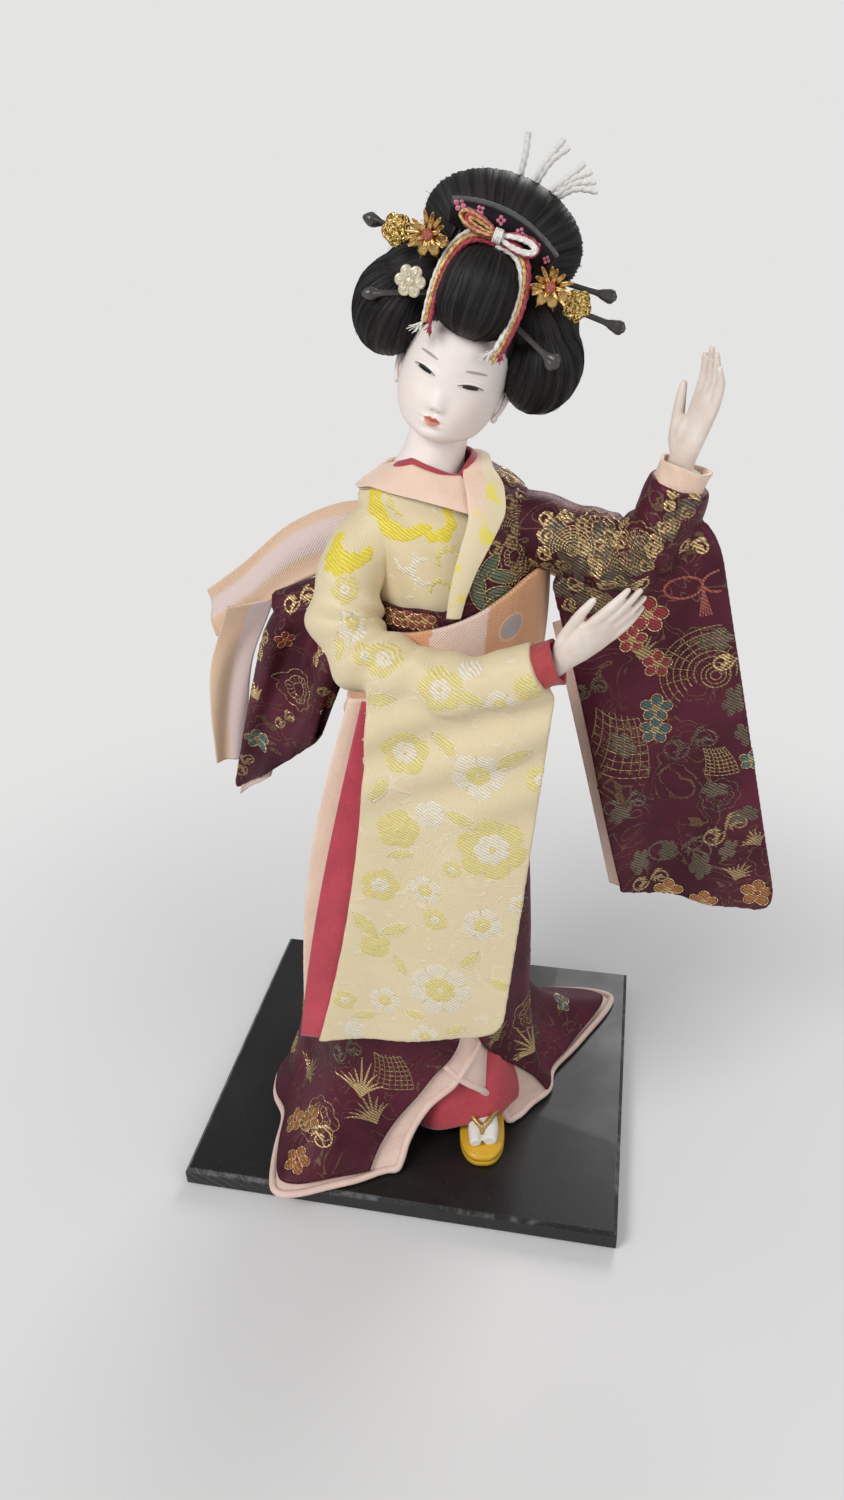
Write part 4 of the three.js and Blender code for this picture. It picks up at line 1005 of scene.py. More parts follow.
def aim_from_camera(works, column, row, turn=0.0):
    """Points stitches at the spot of the cloth that the camera sees there."""
    ray = (camera_right * (column - photo_centre[0]) + camera_up * (photo_centre[1] - row)
           - back * photo_focus).normalized()
    hit, normal, _, _ = works[0].tree.ray_cast(camera_place / MM, ray)
    if hit is None:
        return False
    facing = normal if normal.dot(ray) < 0 else -normal
    for work in works:
        work.aim(hit, facing, turn)
    return True


brocade_thread = thread_finish("brocade_flower_thread", 0.0, 0.45, (0.84, 0.78, 0.66))
deep_yellow, pale_yellow = (0.84, 0.70, 0.07), (0.80, 0.69, 0.29)
white_silk = (0.83, 0.765, 0.62)


def scallops(size, count, deep):
    """A round flat outline with so many scallops."""
    t = full_turn(12 * count)
    r = size * (1 - deep + deep * np.sqrt(np.abs(np.cos(count * t / 2))))
    return points_at(r * np.cos(t), r * np.sin(t))


def stitch_woven_flower(work, size, petals, dye, heart):
    """A full flower: scalloped petals with their partings, a second round inside and a heart."""
    work.patch(scallops(size, petals, 0.24), dye, (0, 0), 0.13)
    for k in range(petals):
        parting = np.linspace(0.5, 0.8, 6)[:, None] * size * ray(math.pi * (2 * k + 1) / petals)
        work.thread(parting, 0.4, heart)
    work.patch(scallops(0.55 * size, petals + 1, 0.22), heart, (0, 0), 0.26)
    work.thread(np.concatenate([scallops(0.34 * size, 4, 0.3)] * 2)[:50], 0.35, dye)
    work.patch(ring_path(0.15 * size, 12)[:-1], dye, (0, 0), 0.36)


def stitch_crescent(work, radius, thick, first, last, dye):
    """A bow of overlapping petals, thickest in its middle."""
    t = full_turn(18)
    for a in np.radians(np.linspace(first, last, 5)):
        share = (math.degrees(a) - first) / (last - first)
        wide = thick * (0.7 + 0.5 * math.sin(math.pi * share))
        ahead, out = np.array([-math.sin(a), math.cos(a)]), np.array([math.cos(a), math.sin(a)])
        outline = (radius * out + np.cos(t)[:, None] * ahead * 0.62 * radius
                   + np.sin(t)[:, None] * out * wide * (1 + 0.1 * np.cos(3 * t))[:, None])
        work.patch(outline, dye, radius * out, 0.16)


def stitch_woven_leaf(work, size, dye, edge):
    """A pointed leaf with its veins."""
    t = full_turn(22)
    outline = points_at(size * np.cos(t), 0.42 * size * np.sin(t) * np.abs(np.sin(t)) ** 0.4)
    work.patch(outline, dye, (0, 0), 0.14)
    work.thread(np.concatenate([outline, outline[:1]]), 0.5, edge)
    work.thread(points_at(np.linspace(-0.9, 0.9, 10) * size, np.zeros(10)), 0.45, edge)


chest_flowers = Stitching(cream_bodice)
for column, row, radius, thick, first, last, dye in (
        (404, 499, 9.0, 2.6, 130, 292, deep_yellow), (402, 500, 3.6, 1.3, 60, 250, pale_yellow),
        (436, 522, 4.0, 2.0, 210, 400, deep_yellow), (448, 560, 3.0, 1.2, 30, 200, pale_yellow),
        (425, 572, 3.4, 1.3, 100, 280, white_silk), (405, 560, 3.0, 1.2, 200, 380, white_silk),
        (440, 590, 2.6, 1.0, 20, 180, pale_yellow)):
    if aim_from_camera([chest_flowers], column, row):
        stitch_crescent(chest_flowers, radius, thick, first, last, dye)
for degrees, z, size in ((95, 226, 5), (120, 218, 6), (140, 229, 5), (160, 214, 6), (172, 227, 5),
                         (190, 219, 5)):
    spot, beyond = (on_figure(np.radians([degrees]), np.array([z]), lift)[0] for lift in (1.05, 6))
    chest_flowers.aim(spot, beyond - spot, 0.03 * degrees)
    stitch_woven_flower(chest_flowers, size, 5, *(
        (pale_yellow, white_silk) if degrees % 20 else (white_silk, pale_yellow)))
chest_brocade = chest_flowers.sewn("cream_bodice_flowers", brocade_thread, "cream_brocade")

# Purple bodice
# The body of the kimono, worn on the left shoulder and turned down to the waist on the
# right, where its edge shows over the obi. Gold scrolls and a leaf spray are couched on it.
purple_lift = 3.45


def purple_bodice_spot(u, v):
    turn = -u * 2 * np.pi
    from_front = np.mod(np.degrees(turn) - 270, 360)
    worn = blend_step(from_front, 2, 46) * (1 - blend_step(from_front, 180, 235))
    top = 207 + 32.5 * worn
    share = (chest_height(v) - 188) / 49
    z = 189.3 + (top - 189.3) * share
    return on_figure(turn, z, purple_lift + 0.2 * np.cos(13 * turn + 9 * v))


purple_bodice, purple_flat = cloth("purple_bodice_brocade", purple_bodice_spot, 160, 60, 0.9,
                                   satin, ring=True)
finish_piece(purple_bodice, "figure", "purple_brocade", "purple_bodice")
gold_on_body, dye_on_body = Stitching(purple_bodice), Stitching(purple_bodice)


def aim_at_figure(works, degrees, z, turn=0.0):
    angle, height = np.array([math.radians(degrees)]), np.array([float(z)])
    spot = on_figure(angle, height, purple_lift)[0]
    for work in works:
        work.aim(spot, on_figure(angle, height, purple_lift + 5)[0] - spot, turn)


leaf_edge = ring_path(4.3, 22, 0.45)
leaf_vein = points_at(np.linspace(-3.6, 3.6, 8), np.zeros(8))
for dx, dy in ((0, 0), (-3.4, -2.6), (3.4, -2.4), (-3.0, -6.6), (2.8, -6.4), (0, -10)):
    aim_at_figure([gold_on_body, dye_on_body], -57 + dx * 2.6, 219 + 1.15 * dy, 0.9 - 0.35 * dx)
    stitch_woven_leaf(dye_on_body, 4.2, (0.15, 0.19, 0.11), leaf_green)
    gold_on_body.thread(leaf_edge, 0.4, bright_gold)
    gold_on_body.thread(leaf_vein, 0.35, bright_gold)
for kind, places in (
        ("fan", [(-34, 228, 6), (-20, 226, 6), (-10, 236, 6), (35, 234, 6), (-30, 213, 7),
                 (80, 212, 8), (165, 210, 6)]),
        ("scroll", [(-24, 233, 6), (10, 236, 6), (-46, 224, 6), (20, 212, 8), (110, 220, 8),
                    (-55, 206, 5), (-14, 208, 6), (65, 228, 5)]),
        ("peony", [(-38, 221, 5), (-8, 222, 7), (50, 218, 8), (140, 213, 7)])):
    for degrees, z, size in places:
        aim_at_figure([gold_on_body], degrees, z)
        stitch(gold_on_body, kind, size, dull_gold)
for degrees in (-124, -112, -100):
    aim_at_figure([gold_on_body, dye_on_body], degrees, 204)
    stitch_blossom(dye_on_body, gold_on_body, 3.2, (0.30, 0.055, 0.025), dull_gold)
body_gold = gold_on_body.sewn("bodice_gold_threads", gold_thread, "purple_brocade")
body_dyed = dye_on_body.sewn("bodice_dyed_leaves", dyed_thread, "purple_brocade")

# Collars
# A narrow red collar stands at the neck. Over it two stiff bands cross left over right: the
# right one of peach silk, the left one peach at the neck and flowered cream on its outer half.
collar_red = plain_silk("collar_red", (0.30, 0.016, 0.030), (0.50, 0.045, 0.070), 0.6)
peach_silk = plain_silk("peach_silk", (0.78, 0.54, 0.40), (0.90, 0.69, 0.54), 0.5)


def crowned(low, high, ahead, v, crown):
    """Points across a band that swells between its edges."""
    out = unit(np.cross(ahead, high - low))
    return low + (high - low) * v[..., None] + out * (crown * (1 - (2 * v - 1) ** 2))[..., None]


def between_edges(low_edge, high_edge, crown):
    """A band between two edges, each a table of turns in degrees, heights and lifts."""
    first, last = low_edge[0][0], low_edge[-1][0]

    def edge(table, degrees):
        z, lift = along(table, np.clip(degrees, table[0][0], table[-1][0]))
        return on_figure(np.radians(degrees), z, lift)

    def spot(u, v):
        degrees = first + (last - first) * u
        low, high = edge(low_edge, degrees), edge(high_edge, degrees)
        return crowned(low, high, edge(low_edge, degrees + 1) - low, v, crown)
    return spot


red_top = [(-50, 241.0, 1.6), (-20, 244.6, 0.4), (20, 245.6, 0.2), (90, 244.3, 0.1),
           (140, 240.0, 0.7),
           (165, 240.2, 0.6), (180, 241.4, 0.4), (195, 243.5, 0.1), (235, 245.5, -0.1),
           (265, 244.4, 0.1), (290, 242.8, 0.7), (310, 241.0, 1.6)]
red_foot = [(turn, z - 5.5, 1.9 if 60 < turn < 280 else 2.4) for turn, z, _ in red_top]
sheet("red_collar_band", between_edges(red_foot, red_top, 0.2), 160, 12, 0.8, collar_red,
      "red_silk", "red_collar", "folded", ["cream_bodice"], folded="first")
flowered = plain_silk("collar_flowered", (0.78, 0.54, 0.40), (0.90, 0.69, 0.54), 0.5)
x, y, _ = flowered.parts(flowered.cloth_place())
bloom = flowered.soft(flowered.noise(flowered.vector(x, y), 0.13, detail=1), 0.57, 0.64)
cream_side = flowered.blend(bloom, (0.79, 0.67, 0.435), (0.82, 0.69, 0.13))
peach_side = flowered.shader.inputs["Base Color"].links[0].from_socket
outer_half = flowered.most(flowered.soft(x, -9, -17), flowered.soft(y, 3.6, 3.1))
flowered.set("Base Color", flowered.blend(outer_half, Field(flowered, peach_side), cream_side))
left_outer = [(-77, 206, 5.5), (-73, 212, 5.5), (-65, 219.5, 5.5), (-55, 225.5, 5.5),
              (-45, 230.5, 5.5), (-32, 235, 5.4), (-12, 239, 4.9), (20, 240.2, 4.8),
              (60, 239.5, 4.8), (100, 237.4, 4.6), (130, 235.4, 3.6), (150, 235, 3.6)]
left_inner = [(-85, 206, 5.5), (-83, 212, 5.5), (-78, 220, 5.5), (-71, 227.5, 5.5),
              (-64, 233.5, 5.3), (-54, 238.5, 4.2), (-42, 241.5, 2.9), (-15, 243.5, 1.7),
              (20, 244.5, 1.4), (60, 243.5, 1.5), (100, 241.5, 2.2), (130, 240, 2.6), (150, 239.4, 2.9)]
right_outer = [(138, 234.6, 2.5), (163, 234.6, 2.5), (185, 235, 2.5), (205, 235.6, 2.5),
               (222, 236.4, 2.6), (250, 236.2, 2.8), (268, 235.6, 3.3), (284, 234.2, 4.3),
               (302, 231.2, 4.5), (310, 229.8, 4.5)]
right_inner = [(138, 239.4, 1.6), (163, 239.8, 1.6), (180, 241.2, 1.4), (195, 243.0, 1.1),
               (235, 244.2, 0.9), (265, 243.1, 1.2), (290, 241.5, 1.7), (310, 240.2, 2.3)]


def by_share(outer, inner, crown, count=60):
    """A band between two edges whose stops lie at even shares of their own ways round."""
    steps = np.linspace(0, 1, count)
    edges = []
    for table in (outer, inner):
        stops = np.column_stack([np.linspace(0, 1, len(table)), np.asarray(table, float)])
        edges.append(np.stack(along(stops, steps), 1))

    def edge(table, u):
        turn, z, lift = np.moveaxis(on_path(table, steps, u), -1, 0)
        return on_figure(np.radians(turn), z, lift)

    def spot(u, v):
        u = np.clip(u, 0, 1)
        low, high = edge(edges[0], u), edge(edges[1], u)
        ahead = edge(edges[0], np.minimum(u + 0.01, 1)) - edge(edges[0], np.maximum(u - 0.01, 0))
        return crowned(low, high, ahead, v, crown)
    return spot


for name, outer, inner, finish, under in (
        ("left_collar", left_outer, left_inner, flowered, "purple_bodice"),
        ("right_collar", right_outer, right_inner, peach_silk, "cream_bodice")):
    sheet(f"{name}_band", by_share(outer, inner, 0.5), 140, 12, 0.8, finish, "peach_silk", name,
          "folded", [under], folded="first")

# Obi and sash
# A stiff band of orange twill with a pale pink field and a grey oval woven in, wound round the
# waist and tilted to the left. A soft pink sash is tied under its lower edge.
obi_low, obi_high = 176, 203
waist_lift = purple_lift + 0.6 + 0.6 + 0.85


def obi_tilt(turn):
    from_side = np.mod(np.degrees(turn) + 195, 360) - 180
    return 5 * np.cos(turn) + 8.5 * hump(from_side, 0, 50) - hump(np.sin(turn), -1, 0.3)


def twill_silk(name):
    """Coarse twill in two colours; returns the finish, its coordinates and the rib pattern."""
    silk = Finish(name, Roughness=0.55, Sheen_Weight=0.15)
    x, y, _ = silk.parts(silk.cloth_place())
    rib = silk.math("SINE", (x + y * 1.15) * 5.6) * 0.5 + 0.5
    cross = silk.math("SINE", (x * 0.9 - y) * 13.5) * 0.5 + 0.5
    fibre = silk.noise(silk.vector(x * 3, y * 3), 1.0, detail=3)
    silk.raise_by(rib * 1.1 + cross * 0.5 + fibre * 0.5, 0.5, 0.0003)
    return silk, x, y, rib * 0.75 + fibre * 0.35


obi_twill, x, y, rib = twill_silk("obi_twill")
orange_weave = obi_twill.blend(rib, (0.60, 0.235, 0.090), (0.84, 0.50, 0.29))
pale_weave = obi_twill.blend(rib, (0.74, 0.47, 0.37), (0.90, 0.74, 0.65))
ragged = obi_twill.noise(obi_twill.vector(x, y), 0.28, detail=2) * 9 - 4.5
pale_field = obi_twill.soft(abs(x + 45.5 + ragged * 0.4) + ragged * 0.6, 8.6, 7.6)
pale_field = pale_field * obi_twill.soft(y + ragged, 8.5, 10)
tilted_x, tilted_y = (x + 62.3) * 0.85 + (y - 17) * 0.5, (y - 17) * 0.85 - (x + 62.3) * 0.5
oval_far = obi_twill.math("SQRT", tilted_x * tilted_x * 0.55 + tilted_y * tilted_y)
oval = obi_twill.soft(oval_far, 2.9, 2.6)
oval_rim = obi_twill.line(oval_far, 3.15, 0.35)
shade = obi_twill.blend(pale_field, orange_weave, pale_weave)
shade = obi_twill.blend(oval, shade, obi_twill.blend(rib, (0.36, 0.30, 0.30), (0.52, 0.46, 0.45)))
obi_twill.set("Base Color", obi_twill.blend(oval_rim * 0.35, shade, (0.88, 0.76, 0.68)))


def obi_spot(u, v):
    turn = -u * 2 * np.pi
    crown = 0.3 * np.sin(np.pi * np.clip(v, 0, 1)) + 0.12 * np.cos(17 * turn)
    return on_figure(turn, obi_low + (obi_high - obi_low) * v + obi_tilt(turn), waist_lift + crown)


sheet("obi_band_twill", obi_spot, 170, 30, 1.5, obi_twill, "obi_weave", "obi_band", "stretched",
      ["purple_bodice", "purple_skirt"], ring=True)


def sash_spot(u, v):
    turn = -u * 2 * np.pi
    z = obi_low - 8 + 7.1 * v + obi_tilt(turn)
    puff = 1.0 * np.abs(np.sin(np.pi * 2 * np.clip(v, 0, 1))) + 0.25 * np.cos(23 * turn + 4 * v)
    return on_figure(turn, z, waist_lift - 0.3 + puff)


sash_silk = plain_silk("sash_silk", (0.72, 0.46, 0.37), (0.88, 0.67, 0.57), 0.8)
sheet("waist_sash_silk", sash_spot, 190, 22, 0.9, sash_silk, "pink_silk", "waist_sash", "folded",
      ["purple_skirt"], ring=True, folded="first")

# Obi knot, wings and tails
# The obi's ends are tied behind in a flat drum. One loop stands out to each side, and the
# two free ends hang down. They are of the same twill, in stripes of pink and peach.
wing_twill, x, y, rib = twill_silk("wing_twill")
stripe = wing_twill.soft(wing_twill.math("SINE", y * 0.36 + 0.6), -0.25, 0.25)
pink_stripe = wing_twill.blend(rib, (0.72, 0.50, 0.45), (0.90, 0.78, 0.73))
peach_stripe = wing_twill.blend(rib, (0.78, 0.46, 0.26), (0.90, 0.70, 0.52))
wing_twill.set("Base Color", wing_twill.blend(stripe, pink_stripe, peach_stripe))


def ribbon_spot(stops, width, across, ripple):
    line = smooth_path(stops, 200)
    flat_way = unit(np.asarray(across, float))

    def spot(u, v):
        p = on_path(line, np.linspace(0, 1, 201), np.clip(u, 0, 1))
        end = (line[-1] - line[-4]) * 67
        p = p + (np.maximum(u - 1, 0) + np.minimum(u, 0))[..., None] * end
        out = unit(np.cross(flat_way, line[120] - line[80]))
        wave = ripple * np.cos(2 * np.pi * (1.3 * v + 0.6 * u)) * blend_step(u, 0.05, 0.5)
        return p + flat_way * ((v - 0.5) * width(u))[..., None] + out * wave[..., None]
    return spot


def drum_form():
    turn = full_turn(72)
    rings = []
    for x in np.linspace(-1, 1, 41):
        full = math.sqrt(max(1 - abs(x) ** 4, 0.02))
        pleat = 1 + 0.035 * math.cos(9 * x) - 0.14 * hump(x, 0, 0.22)
        c, s = np.cos(turn), np.sin(turn)
        y = 7.2 * full * np.sign(c) * np.abs(c) ** 0.8 * pleat
        z = 12 * (0.35 + 0.65 * full) * np.sign(s) * np.abs(s) ** 0.8 * pleat
        rings.append(points_at(13 + 13.6 * x, 25.6 + y, 193 + z))
    return rings_form(rings)


knot_twill = Finish("knot_twill", Roughness=0.55, Sheen_Weight=0.15)
across, deep, up = knot_twill.parts(knot_twill.object_place())
rib = knot_twill.math("SINE", (across + up * 1.15) * 5600) * 0.5 + 0.5
fibre = knot_twill.noise(knot_twill.object_place(), 1400, detail=2)
stripe = knot_twill.soft(knot_twill.math("SINE", up * 400), -0.3, 0.3)
knot_twill.set("Base Color", knot_twill.blend(
    rib * 0.7 + fibre * 0.4, knot_twill.blend(stripe, (0.68, 0.33, 0.16), (0.74, 0.50, 0.42)),
    knot_twill.blend(stripe, (0.86, 0.58, 0.38), (0.90, 0.76, 0.70))))
knot_twill.raise_by(rib + fibre * 0.6, 0.5, 0.0003)
knot_wrap = tube_form([(12, 17.6, 203.5), (12.5, 24, 206.6), (13, 33.2, 200), (13, 34.4, 193),
                       (13, 33.4, 186), (12.5, 25, 179.6), (12, 18, 182)],
                      [3.4, 4.0, 4.2, 3.9, 4.2, 4.0, 3.4], 18, 60, (1, 0, 0),
                      lambda around, t: 1 - 0.55 * np.abs(np.sin(around)))
knot = moulded("obi_knot_drum", together(drum_form(), knot_wrap), 0.6, 4, knot_twill)
finish_piece(knot, "figure", "obi_weave", "obi_knot")
for name, stops, width, across, ripple in (
        ("obi_right_wing", [(4, 29, 202), (-20, 28, 211), (-42, 27, 205), (-62, 27, 190),
                            (-75, 28, 181)], lambda u: 23 - 7 * u, (-0.2, 0.45, 0.85), 1.0),
        ("obi_left_wing", [(22, 29, 204), (34, 31, 209), (48, 31, 204), (58, 30, 193)],
         lambda u: 17 + 0 * u, (0.2, 0.5, 0.85), 1.0),
        ("obi_right_tail", [(-58.5, 21.8, 188), (-61, 21.6, 182), (-67, 20.6, 167), (-70, 20, 150),
                            (-72, 20, 128)], lambda u: 16 - 5 * u, (1, 0.35, 0.12), 0.8),
        ("obi_left_tail", [(18, 33.4, 192), (20, 33, 178), (22, 33, 150), (22, 34, 122)],
         lambda u: 16 + 0 * u, (1, 0, 0), 0.8)):
    sheet(f"{name}_ribbon", ribbon_spot(stops, width, across, ripple), 90, 24, 1.2, wing_twill,
          "obi_weave", name, "folded" if "wing" in name else "hung", ["obi_knot"])


# Sleeves
# Each sleeve is a tube over the wadded arm that widens into a deep bag, folded on its outer
# edge and open toward the body. The right one is cream brocade, the left one purple.
def panel(corners, wave):
    """A hanging panel between four corners, rippled; w runs outward and v down."""
    inner_top, outer_top, inner_low, outer_low = (np.asarray(p, float) for p in corners)
    face = unit(np.cross(outer_top - inner_top, inner_low - inner_top))
    face = face if face[1] < 0 else -face

    def spot(w, v, depth):
        w, v = w[..., None], v[..., None]
        p = (inner_top + (outer_top - inner_top) * w) * (1 - v) + (
            inner_low + (outer_low - inner_low) * w) * v
        ripple = np.sin(2 * np.pi * (1.7 * w + 0.25 * v)) * (0.3 + 0.7 * v) * (1 - 0.7 * w * w)
        return p + face * (depth[..., None] + wave * ripple)
    return spot


def bag_form(spot, opening, lean, shut, top_round, low_round, columns=90, rows=70):
    """A flat bag on a panel, its layers apart at the inner edge, its outer corners round."""
    u, v = np.meshgrid(np.linspace(0, 1, columns), np.linspace(0, 1, rows))
    fold = 1 - np.abs(2 * u - 1)
    start = lean * np.sin(np.pi * v)
    inset = 0
    for (wide, high), far in ((top_round, v), (low_round, 1 - v)):
        inset = inset + wide * (1 - np.sqrt(1 - np.clip(1 - far / high, 0, 1) ** 2))
    w = start + (1 - start - inset) * fold
    depth = np.maximum(opening * (1 - shut * v) * np.sqrt(np.maximum(1 - fold ** 3, 0)), 0.95)
    return rings_form(spot(w, v, np.where(u < 0.5, -depth, depth)))


sleeve_voxel, sleeve_rounds, edge_rounds, sleeve_layer = 0.62, 9, 40, 0.55


def sewn_sleeve(name, arm, bag, slit, finish, crease, set_back=0.0):
    """One cloth over arm and bag. The slit runs from a high to a low point and is cut open."""
    piece = moulded(name, together(arm, bag), sleeve_voxel, sleeve_rounds, finish)
    mesh = piece.data
    spots = mesh_spots(mesh)
    spots[:, 1] -= crease(spots)
    mesh.vertices.foreach_set("co", (spots * MM).ravel())
    high, low, inward = (np.asarray(p, float) for p in slit)
    form = bmesh.new()
    form.from_mesh(mesh)
    cut = []
    for face in form.faces:
        middle = np.array(face.calc_center_median()) / MM
        share = (high[2] - middle[2]) / (high[2] - low[2])
        hollow = set_back * math.sin(math.pi * min(max(share, 0), 1))
        edge = high + (low - high) * share - inward * hollow
        at_edge = (middle - edge) @ inward > -1.6 and face.normal @ Vector(inward) > 0.55
        if 0.075 < share < 0.985 and at_edge:
            cut.append(face)
    bmesh.ops.delete(form, geom=cut, context="FACES")
    for _ in range(edge_rounds):
        smoothed = {}
        for vert in form.verts:
            beside = [edge.other_vert(vert).co for edge in vert.link_edges if edge.is_boundary]
            if len(beside) == 2:
                smoothed[vert] = vert.co * 0.5 + (beside[0] + beside[1]) * 0.25
        for vert, place in smoothed.items():
            vert.co = place
    form.to_mesh(mesh)
    form.free()
    layer = piece.modifiers.new("layer", "SOLIDIFY")
    layer.thickness = sleeve_layer * MM
    layer.offset = -1
    settle(piece)
    return piece


cream_panel = panel([(-4, -36, 194), (47, -38, 193), (-26, -44.5, 63), (35, -46, 74)], 1.1)
cream_arm = tube_form(
    [(-4, -4, 227), (-13, -13, 215), (-12, -24.5, 198.5), (12, -33.5, 191.5), (30, -36.5, 194),
     (42, -37, 199.5)],
    [9, 9.8, 10, 9.4, 8.4, 7.4], 56, 110, (0.2, -0.7, 0.6),
    lambda around, t: (
        1 + 0.045 * np.cos(2 * around + 30 * t)
        + 0.05 * np.cos(44 * t - 1.6 * around) * hump(t, 0.75, 0.2)
        + 0.16 * np.cos(50 * t + 2.4 * np.sin(around)) * hump(t, 0.42, 0.17)))


def cream_crease(p):
    x, y, z = p.T
    hang = blend_step(198 - z, 2, 16) * (1 - blend_step(198 - z, 26, 60))
    slant = 1.1 * np.cos((x + 6) * 0.16 + (196 - z) * 0.34) * hang
    soft_wave = 0.45 * np.sin(0.17 * x + 0.03 * z) * blend_step(185 - z, 0, 60)
    return slant + soft_wave


cream_sleeve = sewn_sleeve(
    "cream_sleeve_brocade", cream_arm,
    bag_form(cream_panel, 4.2, 0.07, 0.42, (0.02, 0.02), (0.13, 0.07)),
    ((-4, -36, 194), (-26, -44.5, 63), (-0.98, 0.05, 0.15)), cream_silk, cream_crease, 4.0)
finish_piece(cream_sleeve, "figure", "cream_brocade", "right_sleeve_arm", "right_sleeve_drop")
sleeve_flowers = Stitching(cream_sleeve)
woven_flowers = {  # dyes of petals and heart: column and row in the photo, size, petals
    (pale_yellow, white_silk): [
        (492, 850, 11, 6), (405, 752, 7.5, 5), (380, 885, 6.5, 5), (435, 920, 4.5, 4),
        (345, 1000, 4.5, 4), (540, 780, 4.5, 4), (452, 870, 3.5, 4), (385, 660, 6, 5),
        (440, 690, 7, 5), (345, 590, 4.5, 5), (365, 655, 4, 4)],
    (white_silk, pale_yellow): [
        (440, 990, 10.5, 7), (478, 775, 8, 5), (425, 890, 5.5, 5), (482, 925, 6.5, 5),
        (385, 1000, 5.5, 5), (425, 1036, 5, 5), (520, 905, 4, 4), (352, 620, 5, 4),
        (415, 640, 5, 4), (500, 705, 5, 4)],
    (pale_yellow, pale_yellow): [(398, 830, 7, 5), (375, 945, 5.5, 4), (530, 690, 5, 5)],
    (white_silk, white_silk): [(430, 815, 5, 4), (355, 1030, 4.5, 4), (470, 668, 4, 4)],
}
for (dye, heart), places in woven_flowers.items():
    for column, row, size, petals in places:
        if aim_from_camera([sleeve_flowers], column, row, 0.01 * column):
            stitch_woven_flower(sleeve_flowers, size, petals, dye, heart)
for column, row, size, turn in (
        (512, 760, 6, 0.6), (445, 745, 5, 2.4), (378, 790, 5, 1.0), (460, 820, 5, 2.8),
        (365, 925, 6, 2.2), (395, 930, 5, 0.4), (470, 960, 4.5, 0.9), (400, 965, 4, 2.0),
        (365, 1015, 4.5, 0.3), (500, 985, 4.5, 2.6), (380, 700, 5, 0.2), (470, 700, 5, 2.7),
        (340, 650, 4.5, 1.8), (400, 855, 4, 0.2), (415, 1015, 4, 2.9), (455, 1030, 4, 0.5)):
    if aim_from_camera([sleeve_flowers], column, row, turn):
        stitch_woven_leaf(sleeve_flowers, size, pale_yellow, white_silk)
for spot, facing, size in (
        ((-8, -8, 221), (-0.7, 0.6, 0.4), 5), ((-13, -13, 215), (-0.9, 0.4, 0), 5.5),
        ((-13, -18, 207), (-0.9, 0.3, -0.1), 5), ((-12, -24, 199), (-0.8, 0.4, -0.3), 5.5),
        ((-13, -14, 213), (-0.4, 0.9, 0), 5), ((-2, -29, 194), (-0.2, 0.8, -0.4), 5)):
    sleeve_flowers.aim(spot, facing, size)
    stitch_woven_flower(sleeve_flowers, size, 5, pale_yellow, white_silk)
for column, row, radius, first, last in ((352, 545, 4.6, 150, 330), (340, 556, 3.6, 190, 360)):
    if aim_from_camera([sleeve_flowers], column, row):
        stitch_crescent(sleeve_flowers, radius, 2.4, first, last, deep_yellow)
chance = np.random.default_rng(11)
for k in range(34):
    w, v = chance.uniform(0.1, 0.95), chance.uniform(0.1, 0.97)
    spot = cream_panel(np.array(w), np.array(v), np.array(-4.0))
    sleeve_flowers.aim(spot, (0.05, 1, 0), chance.uniform(0, 3))
    pair = (pale_yellow, white_silk) if k % 2 else (white_silk, pale_yellow)
    if k % 3 == 2:
        stitch_woven_leaf(sleeve_flowers, 4.8, pale_yellow, white_silk)
    else:
        stitch_woven_flower(sleeve_flowers, chance.uniform(4.5, 9), 5, *pair)
sleeve_brocade = sleeve_flowers.sewn("cream_sleeve_flowers", brocade_thread, "cream_brocade")


def lining_strip(sheet_panel, first, last, high, low, depth, ripple):
    """A strip of a panel, from first(v) to last across and from high to low."""
    def spot(u, v):
        start = first(v)
        drop = high + (low - high) * v
        wave = ripple * np.cos(2 * np.pi * (1.5 * u + 0.4 * v))
        return sheet_panel(start + (last - start) * u, drop, depth + wave + 0 * u)
    return spot


sleeve_red = plain_silk("sleeve_red", (0.36, 0.020, 0.040), (0.60, 0.055, 0.090), 0.7)
for name, finish, slot, first, last, high, low, depth, ripple in (
        ("right_sleeve_red", sleeve_red, "red_silk",
         lambda v: -0.02 - 0.1 * np.sin(0.65 * np.pi * v), 0.3, 0.06, 0.99, 0.6, 0.2),
        ("right_sleeve_peach", peach_silk, "peach_silk",
         lambda v: -0.1 - 0.1 * np.sin(np.pi * v), 0.22, 0.06, 0.96, -0.75, 0.5)):
    strip = lining_strip(cream_panel, first, last, high, low, depth, ripple)
    sheet(f"{name}_strip", strip, 26, 90, 0.7, finish, slot, name, "hung", ["right_sleeve_arm"])

# Left sleeve
# The purple sleeve on the raised left arm. The upper arm is thick with gold scrolls, and nets,
# vines and dyed flowers are scattered over the bag. Pink silk lines its open edge.
purple_panel = panel([(42.5, -5, 212), (84, -9.5, 235), (68, -7, 108.5), (118, -7, 101)], 1.8)
purple_arm = tube_form(
    [(31, -3, 227), (50, -5, 222), (63, -7, 219.5), (70.5, -9, 229.5), (74, -10, 241)],
    [9.6, 10, 10.5, 9, 8], 56, 110, (0.1, -0.9, 0.3),
    lambda around, t: (
        1 + 0.04 * np.cos(2 * around + 24 * t)
        + 0.10 * np.cos(62 * t + 1.8 * np.sin(around)) * hump(t, 0.60, 0.18)))


